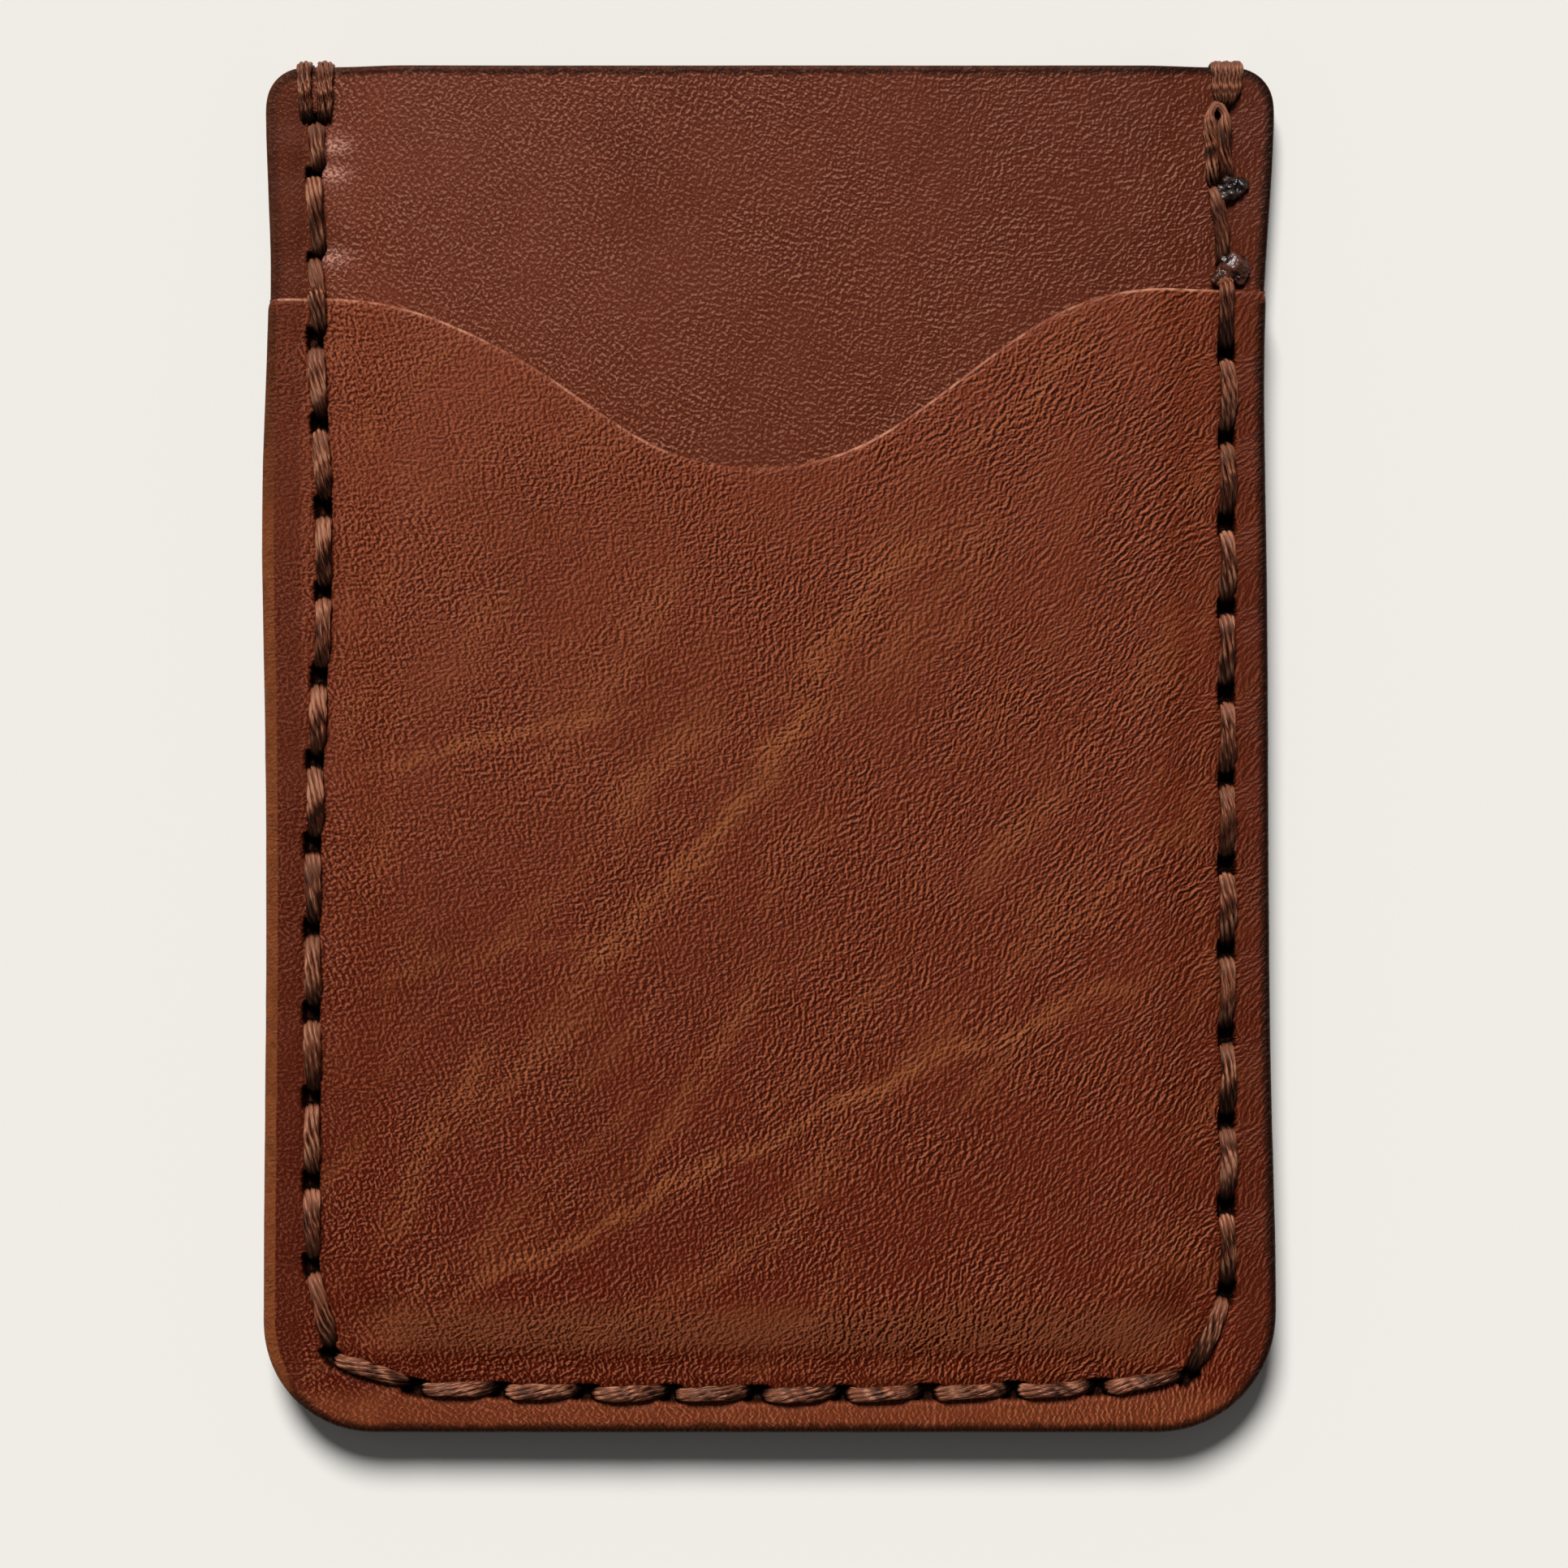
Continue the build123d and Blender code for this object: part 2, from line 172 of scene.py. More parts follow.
def panel_loop(wavy_top):
    """The outline, anticlockwise from the bottom left, with evenly spaced points."""
    bl, br = CORNERS["bottom_left"], CORNERS["bottom_right"]
    tl, tr = CORNERS["top_left"], CORNERS["top_right"]
    right_end, left_end = (WAVE[-1][1], WAVE[0][1]) if wavy_top else (TOP_EDGE - tr, TOP_EDGE - tl)
    up = np.linspace(BOTTOM_EDGE + br, right_end, 200)
    down = np.linspace(left_end, BOTTOM_EDGE + bl, 200)
    if wavy_top:
        across = np.linspace(right_x(right_end), left_x(left_end), 260)[1:-1]
        top = [np.stack([across, wave_y(across)], axis=1)]
    else:
        top = [arc(SIDE - tr, TOP_EDGE - tr, tr, 0, 90), arc(-SIDE + tl, TOP_EDGE - tl, tl, 90, 180)]
    pieces = [
        arc(-SIDE + bl, BOTTOM_EDGE + bl, bl, 180, 270),
        arc(SIDE - br, BOTTOM_EDGE + br, br, 270, 360),
        np.stack([right_x(up), up], axis=1),
        *top,
        np.stack([left_x(down), down], axis=1),
    ]
    loop = resample(np.vstack(pieces), EDGE_STEP, closed=True)
    for _ in range(4):
        loop = (np.roll(loop, 1, 0) + 2 * loop + np.roll(loop, -1, 0)) / 4
    return loop


def inward(loop):
    along = unit(np.roll(loop, -1, 0) - np.roll(loop, 1, 0))
    return np.stack([-along[:, 1], along[:, 0]], axis=1)


def depth_inside(points, loop):
    """How far each point lies inside the loop."""
    normals = inward(loop)
    depth = np.empty(len(points))
    for i in range(0, len(points), 4000):
        gap = points[i : i + 4000, None, :] - loop[None]
        nearest = (gap**2).sum(2).argmin(1)
        step = points[i : i + 4000] - loop[nearest]
        depth[i : i + 4000] = (step * normals[nearest]).sum(1)
    return depth


# ---------------- seam


def seam_holes():
    """The stitch holes from the top left, round the bottom, to the top right."""
    left_y = np.linspace(39.6, -36.0, ROW_HOLES)
    left = np.stack([-31.7 + 0.85 * np.exp(-(((left_y - 13.7) / 13.0) ** 2)), left_y], axis=1)
    x = np.linspace(-24.5, 22.7, BOTTOM_HOLES)
    bottom = np.stack([x, -44.4 - 0.45 * (1 - ((x + 0.9) / 23.6) ** 2)], axis=1)
    right = np.stack([np.full(ROW_HOLES, 31.55), np.linspace(-37.8, 38.9, ROW_HOLES)], axis=1)
    rows = [[FIRST_HOLE], left, [CORNER_HOLE_LEFT], bottom, [CORNER_HOLE_RIGHT], right, [LAST_HOLE]]
    return np.vstack(rows)


BOTTOM_RUN, RIGHT_RUN, LAST_STITCH = 15, 25, 39  # the first stitch of the bottom and right runs, and the last
HOLES = seam_holes()
STITCHES = unit(np.diff(HOLES, axis=0))
HEADINGS = unit(np.vstack([STITCHES[:1], STITCHES[:-1] + STITCHES[1:], STITCHES[-1:]]))
INNER = np.stack([-HEADINGS[:, 1], HEADINGS[:, 0]], axis=1)

# Each hole's half length along the seam and half width across it, larger where the front panel is pulled open
ON_FRONT = HOLES[:, 1] < SHOULDER_LEFT[1]
HOLE_LONG = np.where(ON_FRONT, 0.86, 0.52) * (1 + 0.1 * np.sin(np.arange(len(HOLES)) * 2.9))
HOLE_WIDE = np.where(ON_FRONT, 0.57, 0.48) * (1 + 0.06 * np.sin(np.arange(len(HOLES)) * 1.7))


def hole_distance(points):
    """Distance from the nearest hole, a rounded rectangle that is 1 at its rim, and the offset and number."""
    gap = points[:, None, :] - HOLES[None]
    along = (gap * HEADINGS).sum(2) / HOLE_LONG
    across = (gap * INNER).sum(2) / HOLE_WIDE
    distance = (along**4 + across**4) ** 0.25
    nearest = distance.argmin(1)
    rows = np.arange(len(points))
    return distance[rows, nearest], gap[rows, nearest], nearest


def stitch_distance(points):
    """Distance to the nearest stitch's line, and how far along that stitch the point is, from 0 to 1."""
    start, step = HOLES[:-1], np.diff(HOLES, axis=0)
    share = ((points[:, None, :] - start) * step).sum(2) / (step**2).sum(1)
    share = np.clip(share, 0, 1)
    gap = points[:, None, :] - start - share[..., None] * step
    distance = np.linalg.norm(gap, axis=2)
    nearest = distance.argmin(1)
    rows = np.arange(len(points))
    return distance[rows, nearest], share[rows, nearest]


# ---------------- leather surfaces


def formed_depth(points):
    """How far each point lies inside the formed region, which is open past the mouths."""
    x, y = points[:, 0], points[:, 1]
    side = np.minimum(x - FORM_LEFT, FORM_RIGHT - x)
    low = y - FORM_BOTTOM
    corner = FORM_CORNER - np.hypot(np.minimum(side - FORM_CORNER, 0), np.minimum(low - FORM_CORNER, 0))
    return np.where((side < FORM_CORNER) & (low < FORM_CORNER), corner, np.minimum(side, low))


def formed(points, rise):
    return rise * smoothstep(-0.3, FORM_SLOPE, formed_depth(points))


def rim_drop(depth, radius):
    """How much a rounded edge falls below its panel at this depth inside the outline."""
    d = np.clip(depth, 0, radius)
    return radius - np.sqrt(radius**2 - (radius - d) ** 2)


def stitch_relief(points):
    """How the stitches pull the leather in: a trough, a pit at each hole with raised lips, and puckers."""
    pit, gap, nearest = hole_distance(points)
    line, share = stitch_distance(points)
    across = (gap * INNER[nearest]).sum(1)
    along = (gap * HEADINGS[nearest]).sum(1)
    trough = -0.3 * np.exp(-((line / 0.72) ** 2))
    hole = -0.95 * smoothstep(1.1, 0.84, pit)
    lips = 0.13 * np.exp(-(((pit - 1.4) / 0.3) ** 2)) * np.clip(np.abs(across) / 0.8, 0, 1)
    strength = 0.75 + 0.25 * np.sin(nearest * 2.4) + 0.8 * (nearest < 4)
    pucker = -0.15 * strength * np.exp(-((along / 1.2) ** 2)) * np.exp(-np.abs(across) / 1.6)
    swell = 0.07 * np.sin(math.pi * share) ** 2 * np.exp(-(((line - 1.25) / 0.8) ** 2))
    return trough + hole + lips + pucker + swell


def undulation(points, seed):
    """The slow waviness of a used panel, with faint diagonal wrinkles."""
    x, y = points[:, 0], points[:, 1]
    slow = 0.09 * smooth_noise(x / 13, y / 13, seed) + 0.035 * smooth_noise(x / 5, y / 5, seed + 1)
    u, v = (x + y) * 0.7071, (y - x) * 0.7071
    wrinkle = 0.012 * smooth_noise(u / 3.2, v / 0.9, seed + 2)
    wrinkle = wrinkle + 0.01 * smooth_noise(u / 1.6, v / 0.7, seed + 3)
    return slow + wrinkle


# Lighter pulled-up lines on the front: start, end, bow to the side, half width and strength
VEINS = [
    ((6.5, 7.5), (-16.0, -18.8), 1.0, 0.9, 1.0), ((12.5, 16.0), (0.5, 1.5), -0.6, 1.3, 0.7),
    ((30.8, -13.9), (-27.1, -41.2), -1.2, 0.55, 1.0), ((-29.8, -2.4), (-5.3, 3.0), 0.8, 0.5, 0.8),
    ((-28.7, -17.2), (-9.6, -12.8), 0.7, 0.5, 0.6), ((8.9, 16.7), (4.6, 4.7), 0.4, 0.9, 0.6),
    ((23.1, 29.2), (11.1, 18.9), 0.5, 0.5, 0.6), ((0.2, -12.8), (-10.7, -32.5), 0.8, 0.7, 0.6),
    ((-17.3, -18.3), (-27.6, -35.8), -0.6, 0.9, 0.6), ((29.7, -3.0), (16.6, -16.1), 0.6, 0.5, 0.5),
    ((16.6, -18.3), (2.5, -25.5), 0.5, 0.4, 0.7), ((-1.5, 3.0), (-13.0, -8.0), -0.8, 1.5, 0.55),
]
MOUTH_REACH = 1.4  # how far from the wavy edge its wear and painted highlight reach


def vein_strength(points):
    """How much of a vein's colour each point has."""
    total = np.zeros(len(points))
    wander = 0.7 * smooth_noise(points[:, 0] / 2.5, points[:, 1] / 2.5, 51)
    for start, end, bow, width, strength in VEINS:
        start, step = np.array(start), np.subtract(end, start)
        length = np.linalg.norm(step)
        ahead = step / length
        share = (points - start) @ ahead / length
        aside = (points - start) @ np.array([-ahead[1], ahead[0]]) + bow * 4 * share * (share - 1) + wander
        taper = smoothstep(0.0, 0.25, share) * smoothstep(1.0, 0.75, share)
        total = np.maximum(total, strength * taper * np.exp(-((aside / width) ** 2)))
    return total


def mouth_nearness(points):
    """1 on the front panel's wavy edge, falling to 0 a little way from it and at the side seams."""
    gap = np.abs(wave_y(points[:, 0]) - points[:, 1])
    return np.clip(1 - gap / MOUTH_REACH, 0, 1) * smoothstep(34.7, 34.0, np.abs(points[:, 0]))


def pucker_highlight(points):
    """1 where a painted highlight lies on the puckers beside the upper left holes."""
    total = np.zeros(len(points))
    for x, y in (HOLES[0] + HOLES[1]) / 2, HOLES[1], HOLES[2]:
        away = (points - (x + 1.3, y + 0.1)) / (1.1, 0.55)
        total = np.maximum(total, np.exp(-((away**2).sum(1))))
    return total


def crease_turn(points):
    """How far the creases turn from their main direction, in the bottom margin and round each stitch."""
    bottom = smoothstep(-43.6, -44.6, points[:, 1]) * smoothstep(33.0, 29.0, np.abs(points[:, 0]))
    gap, nearest = hole_distance(points)[1:]
    away = np.linalg.norm(gap, axis=1)
    swirl = 0.55 * np.exp(-((away / 2.2) ** 2)) * np.sign((gap * HEADINGS[nearest]).sum(1))
    return bottom * math.radians(30) + (1 - bottom) * swirl


def everywhere(points):
    return np.full(len(points), True)


def spread(loop, spacing, keep):
    """A grid of points well inside the loop, for which keep(points) is true."""
    low, high = loop.min(0), loop.max(0)
    rows = np.arange(low[1], high[1], spacing * 0.866)
    columns = np.arange(low[0], high[0], spacing)
    grid = np.stack(np.meshgrid(columns, rows), axis=-1)
    grid[1::2, :, 0] += spacing / 2
    grid = grid.reshape(-1, 2)
    grid = grid[keep(grid)]
    return grid[depth_inside(grid, loop) > spacing * 0.6]


def hole_rings(keep):
    """Points in rings round the holes, so that the pits are smooth."""
    made = [HOLES]
    for i, radius in enumerate(PIT_RINGS):
        turns = np.linspace(0, 2 * math.pi, 24, endpoint=False) + i * 0.131
        c, d = np.cos(turns), np.sin(turns)
        reach = radius / (c**4 + d**4) ** 0.25
        for hole, heading, inner, long, wide in zip(HOLES, HEADINGS, INNER, HOLE_LONG, HOLE_WIDE):
            made.append(hole + np.outer(reach * c * long, heading) + np.outer(reach * d * wide, inner))
    made = np.vstack(made)
    return made[keep(made)]


def fill(ring, inside):
    """Triangles between a closed ring of points and the points inside it, numbered ring first."""
    points = [Vector(p) for p in np.vstack([ring, inside])]
    edges = [(i, (i + 1) % len(ring)) for i in range(len(ring))]
    _, _, faces, origin, _, _ = geometry.delaunay_2d_cdt(points, edges, [], 1, 1e-7)
    return [[origin[i][0] for i in face] for face in faces]


def make_mesh(name, points, faces, material, attributes=None):
    """A smooth-shaded object from points in millimetres."""
    mesh = bpy.data.meshes.new(name)
    mesh.from_pydata((np.asarray(points) * MM).tolist(), [], faces)
    mesh.polygons.foreach_set("use_smooth", [True] * len(mesh.polygons))
    for key, values in (attributes or {}).items():
        mesh.attributes.new(key, "FLOAT", "POINT").data.foreach_set("value", np.asarray(values, np.float32))
    mesh.materials.append(material)
    made = bpy.data.objects.new(name, mesh)
    bpy.context.scene.collection.objects.link(made)
    return made


# How far inside the outline the rings of a panel's rim lie, top and underside, and how far down its side
RIM_TOP = (0.42, 0.3, 0.2, 0.12, 0.05, 0.0)
RIM_UNDER = (0.0, 0.05, 0.14, 0.3)
RIM_SIDE = (0.25, 0.5, 0.75)
COVERED_STEP, UNDER_STEP = 1.3, 1.2  # between the points of covered leather, and of the undersides
PIT_RINGS = (0.35, 0.62, 0.82, 0.92, 1.02, 1.14, 1.34, 1.6, 1.86)  # for a hole whose rim is at 1


def leather_panel(name, loop, top, under, material, fine, radius, fine_where, under_radius=0.12):
    """A closed sheet of leather: a fine top, a rounded, slightly uneven edge, and a plainer underside."""
    normals = inward(loop)
    run = np.arange(len(loop)) * EDGE_STEP
    rings, levels, depths = [], [], []

    def ring(depth, height):
        rings.append(loop + normals * depth)
        levels.append(height)
        depths.append(np.full(len(loop), depth))

    for depth in RIM_TOP:
        points = loop + normals * depth
        ring(depth, top(points) - rim_drop(depth, radius))
    high, low = levels[-1], under(loop) + under_radius
    for share in RIM_SIDE:
        bulge = 0.035 * math.sin(math.pi * share) + 0.02 * smooth_noise(run / 1.7, run * 0 + share * 3, 41)
        ring(0, high + (low - high) * share)
        rings[-1] = rings[-1] - normals * np.asarray(bulge)[:, None]
    for depth in RIM_UNDER:
        points = loop + normals * depth
        ring(depth, under(points) + rim_drop(depth, under_radius))

    first, last = rings[0], rings[-1]
    n = len(loop)
    far = lambda p: hole_distance(p)[0] > 2.0
    grid = spread(first, fine, lambda p: far(p) & fine_where(p))
    coarse = spread(first, COVERED_STEP, lambda p: ~fine_where(p) & far(p))
    pits = hole_rings(lambda p: depth_inside(p, loop) > 0.9)
    inside = np.vstack([grid, coarse, pits])
    under_inside = spread(last, UNDER_STEP, everywhere)
    ring_points = np.vstack(rings)
    points = np.vstack([ring_points, inside, under_inside])
    z = np.r_[np.concatenate(levels), top(inside), under(under_inside)]
    depth = np.r_[np.concatenate(depths), depth_inside(inside, loop), depth_inside(under_inside, loop)]

    faces = []
    for r in range(len(rings) - 1):
        for i in range(n):
            j = (i + 1) % n
            faces.append((r * n + i, (r + 1) * n + i, (r + 1) * n + j, r * n + j))
    offset = len(ring_points) - n
    faces += [[i if i < n else i + offset for i in face] for face in fill(first, inside)]
    base = (len(rings) - 1) * n
    shift = len(ring_points) + len(inside) - n
    faces += [[base + i if i < n else i + shift for i in face][::-1] for face in fill(last, under_inside)]

    pit = hole_distance(points)[0]
    line = stitch_distance(points)[0]
    attributes = {
        "pit": smoothstep(1.16, 0.95, pit),
        "seam": np.exp(-((line / 0.95) ** 2)),
        "depth": np.clip(depth, 0, 12),
        "turn": crease_turn(points),
        "vein": vein_strength(points),
        "mouth": mouth_nearness(points),
        "pucker_highlight": pucker_highlight(points),
    }
    return make_mesh(name, np.column_stack([points, z]), faces, material, attributes)


# ---------------- materials


def feed(socket, value):
    """Gives an input its value, or links it to the output that drives it."""
    if isinstance(value, bpy.types.NodeSocket):
        socket.id_data.links.new(value, socket)
    else:
        socket.default_value = value


def node(tree, kind, settings=None, **inputs):
    """Adds a node. Each input is a value or an output; in0, in1 and so on go by position."""
    made = tree.nodes.new("ShaderNode" + kind)
    for key, value in (settings or {}).items():
        setattr(made, key, value)
    for key, value in inputs.items():
        numbered = key[:2] == "in" and key[2:].isdigit()
        feed(made.inputs[int(key[2:]) if numbered else key.replace("_", " ")], value)
    return made


def maths(operation, first, second=0.0):
    """The outcome of a Math node. Here and below, the first value is an output, and the tree is its own."""
    return node(first.id_data, "Math", {"operation": operation}, in0=first, in1=second).outputs[0]


def product(total, *factors):
    for factor in factors:
        total = maths("MULTIPLY", total, factor)
    return total


def added(total, *terms):
    for term in terms:
        total = maths("ADD", total, term)
    return total


def remap(value, low, high, to_low=0.0, to_high=1.0, smooth=True):
    kind = "SMOOTHSTEP" if smooth else "LINEAR"
    ends = {"From_Min": low, "From_Max": high, "To_Min": to_low, "To_Max": to_high}
    return node(value.id_data, "MapRange", {"interpolation_type": kind}, Value=value, **ends).outputs[0]


def mixed(factor, first, second):
    """One colour laid over another, the second as strongly as the factor."""
    return node(factor.id_data, "Mix", {"data_type": "RGBA"}, in0=factor, in6=first, in7=second).outputs[2]


def colour(red, green, blue):
    """A linear colour from screen values between 0 and 255."""
    screen = (red / 255, green / 255, blue / 255)
    return (*(c / 12.92 if c <= 0.04045 else ((c + 0.055) / 1.055) ** 2.4 for c in screen), 1.0)


def new_material(name):
    made = bpy.data.materials.new(name)
    made.use_nodes = True
    made.node_tree.nodes.clear()
    return made, made.node_tree


def finish_material(tree, base, bump, roughness, specular, coat=0.0, coat_roughness=0.3):
    shader = node(tree, "BsdfPrincipled", Base_Color=base, Roughness=roughness)
    shader.inputs["Specular IOR Level"].default_value = specular
    shader.inputs["Coat Weight"].default_value = coat
    shader.inputs["Coat Roughness"].default_value = coat_roughness
    if bump is not None:
        tree.links.new(bump, shader.inputs["Normal"])
    out = tree.nodes.new("ShaderNodeOutputMaterial")
    tree.links.new(shader.outputs[0], out.inputs["Surface"])


def attribute(tree, name):
    return node(tree, "Attribute", {"attribute_name": name}).outputs["Fac"]


def stretched(place, angle, long, short):
    """Coordinates that run in units of long at this angle, and of short across it."""
    turned = node(place.id_data, "Mapping", {"vector_type": "TEXTURE"}, Vector=place)
    turned.inputs["Rotation"].default_value = (0, 0, math.radians(angle))
    parts = node(place.id_data, "SeparateXYZ", Vector=turned.outputs[0]).outputs
    along, across = maths("DIVIDE", parts[0], long), maths("DIVIDE", parts[1], short)
    return node(place.id_data, "CombineXYZ", X=along, Y=across, Z=parts[2]).outputs[0]


def noise(place, scale=1.0, detail=2.0, rough=0.5, output="Fac"):
    made = node(place.id_data, "TexNoise", Vector=place, Scale=scale, Detail=detail, Roughness=rough)
    return made.outputs[output]


def moved(place, drift):
    return node(place.id_data, "VectorMath", {"operation": "ADD"}, in0=place, in1=drift).outputs[0]


def scaled(place, size):
    return node(place.id_data, "VectorMath", {"operation": "SCALE"}, in0=place, Scale=size).outputs[0]


def shifted(place, scale, size):
    """The place moved about by a smooth random amount, of this size, whose features are 1 / scale across."""
    drift = moved(noise(place, scale, 1, output="Color"), (-0.5, -0.5, -0.5))
    return moved(place, scaled(drift, size))


GABOR_SWING = 0.17  # most of the texture's values lie this close to one half


def gabor(place, scale, count, straight, turn):
    """Waves of one length, count of them across each cell, that mostly keep to the direction turn."""
    settings = dict(Scale=scale, Frequency=count, Anisotropy=straight, Orientation=turn)
    value = node(place.id_data, "TexGabor", {"gabor_type": "2D"}, Vector=place, **settings).outputs["Value"]
    return remap(value, 0.5 - GABOR_SWING, 0.5 + GABOR_SWING, smooth=False)


def grain(tree, look, place, bent):
    """Fine ridges of three sizes, of one main direction, over pores: their height and their strength."""
    x, y = node(tree, "SeparateXYZ", Vector=place).outputs[:2]
    turn = added(product(x, look["turn_x"]), product(y, look["turn_y"]))
    turn = added(turn, math.radians(look["angle"] + 90), attribute(tree, "turn"))
    straight = added(product(x, look["straighter"]), look["straight"])
    straight = maths("MINIMUM", maths("MAXIMUM", straight, 0.15), 0.95)
    broad = gabor(bent, 0.95, 2.1, straight, turn)
    ridges = gabor(bent, 1.45, 1.9, straight, turn)
    finer = gabor(bent, 2.4, 1.7, product(straight, 0.8), turn)
    pores = remap(noise(place, 4.4, 2.0, 0.6), 0.3, 0.7, smooth=False)
    sizes = {"broad": broad, "ridges": ridges, "finer": finer, "pores": pores}
    height = added(*(product(socket, look[size]) for size, socket in sizes.items()))
    height = maths("POWER", height, look["sharp"])
    strength = remap(x, -30, 30, look["left_relief"], look["right_relief"], smooth=False)
    strength = product(strength, remap(noise(place, 0.14, 2), 0.3, 0.7, 0.72, 1.25))
    return height, strength


def body_colour(tree, look, place, bent, height, strength):
    """Slow changes down and across the panel, lighter veins, dark creases that are partly painted shade,
    light crests that are partly painted highlight, and a painted light band over the bottom slope.
    """
    x, y = node(tree, "SeparateXYZ", Vector=place).outputs[:2]
    down = remap(y, look["top_y"], look["low_y"], smooth=False)
    base = mixed(down, look["top"], look["low"])
    # Darker towards the right: on the front the panel's own tone; on the middle panel painted shade in place
    # of a sheen that fades across it.
    base = mixed(remap(x, -30, 32, 0, 0.5, smooth=False), base, look["right"])
    veins = noise(stretched(bent, look["vein_angle"], 14.0, 3.4), 1.0, 3, 0.55)
    base = mixed(remap(veins, 0.5, 0.75, 0, look["vein"]), base, look["vein_colour"])
    streaks = remap(noise(stretched(bent, look["vein_angle"], 2.5, 0.5), 1.0, 2), 0.3, 0.62)
    drawn = product(attribute(tree, "vein"), streaks, look["drawn"])
    drawn = product(drawn, remap(height, 0.15, 0.7, 0.4, 1.2))
    base = mixed(drawn, base, look["vein_colour"])
    blotches = noise(place, 0.12, 3, 0.55)
    base = mixed(remap(blotches, 0.52, 0.3, 0, 0.3), base, look["deep"])
    # A painted light band over the formed slope above the bottom seam, lightening the shade that the slope
    # takes.
    painted_light_band = product(remap(y, -42.4, -40.8), remap(y, -37.6, -40.2))
    painted_light_band = product(painted_light_band, remap(maths("ABSOLUTE", x), 29.5, 25.5))
    base = mixed(product(painted_light_band, look["painted_light_band"]), base, look["painted_light_colour"])
    # Dark creases: partly pigment, partly painted shade in the grain's hollows.
    low_share = product(remap(height, look["middle"], look["middle"] - 0.2), strength)
    base = mixed(product(low_share, look["crease"]), base, look["crease_colour"])
    # Light crests: partly lighter tone, partly painted highlight.
    high = product(remap(height, look["crest_low"], look["crest_high"]), strength)
    base = mixed(product(high, look["crest_tone_and_highlight"]), base, look["ridge_colour"])
    return base


def seam_colour(tree, look, place, base, height):
    """The seam, with painted shade along its trough and a painted highlight on the puckers, and the margins
    outside it.
    """
    x, y = node(tree, "SeparateXYZ", Vector=place).outputs[:2]
    # Painted shade along the stitch line, in the trough under the thread.
    base = mixed(product(attribute(tree, "seam"), 0.38), base, look["deep"])
    low_margin = product(remap(y, -43.9, -45.6), look["margin"])
    dyed = remap(maths("ABSOLUTE", x), 31.9, 32.7, 0, look["dyed"])
    dyed = product(dyed, remap(x, -30, 30, 1.0, look["dyed_right"]))
    base = mixed(dyed, base, look["deep"])
    # A pinkish painted highlight on the puckers by the upper left holes, stronger on the grain's higher
    # parts.
    patches = product(attribute(tree, "pucker_highlight"), remap(height, 0.15, 0.5, 0.15, 0.85))
    base = mixed(patches, base, look["pucker_highlight"])
    base = mixed(low_margin, base, look["margin_colour"])
    return base


def edge_colour(tree, look, place, base):
    """The dyed and burnished edge, with painted shade darkening it towards the right and bottom, tan at the
    left, and a light line along the wavy mouth that is partly wear and partly a painted highlight.
    """
    x, y = node(tree, "SeparateXYZ", Vector=place).outputs[:2]
    depth, fray = attribute(tree, "depth"), noise(place, 1.6, 3, 0.6)
    leftness = remap(x, -32.6, -33.8)
    topness = remap(y, 12.0, 30.0, 1.0, look["tan_above"])
    tan = product(leftness, topness, remap(fray, 0.2, 0.7, 0.55, 1.0))
    edge_line = product(remap(depth, 0.45, 0.3), remap(fray, 0.35, 0.65, 0.1, 0.6))
    rim_colour = mixed(edge_line, look["rim"], look["edge_line"])
    # Near black on the outer edge, strongest at the right and bottom: partly edge paint, partly painted shade
    # on the edges that face away from the light.
    side = maths("MAXIMUM", remap(x, 15, 32), remap(y, -44, -46.5))
    edge_paint_and_shade = product(remap(depth, 0.5, 0.3), remap(side, 0, 1, 0.2, 0.95))
    rim_colour = mixed(edge_paint_and_shade, rim_colour, look["edge_paint_and_shade"])
    rim_colour = mixed(tan, rim_colour, look["tan"])
    # A thin light line along the wavy mouth: partly wear, partly a painted highlight where the edge faces the
    # light.
    mouth = product(attribute(tree, "mouth"), look["wear_and_highlight"])
    mouth = product(mouth, remap(x, 32.6, 31.8, 0.5, 1))
    wear_and_highlight = remap(mouth, 0.8, 0.92)
    wide = remap(fray, 0.3, 0.7, -0.12, 0.12)
    rim = product(remap(added(depth, wide), 0.85, 0.42), 0.9)
    strip = remap(added(depth, product(wide, 0.3)), 0.9, 0.8)
    rim = maths("MAXIMUM", rim, product(strip, leftness, topness))
    tan = product(tan, remap(depth, 0.82, 0.66))
    base = mixed(product(rim, remap(mouth, 0.35, 0.1)), base, rim_colour)
    breaks = remap(noise(place, 0.4, 2), 0.4, 0.62, 0.25, 1.0)
    from_dip = maths("ABSOLUTE", added(x, 2.0))
    breaks = product(breaks, remap(from_dip, 3.0, 8.0, 0.15, 1.0))
    wear_and_highlight = product(wear_and_highlight, breaks, remap(fray, 0.35, 0.6, 0.3, 1.0))
    base = mixed(wear_and_highlight, base, look["wear_and_highlight_colour"])
    return base


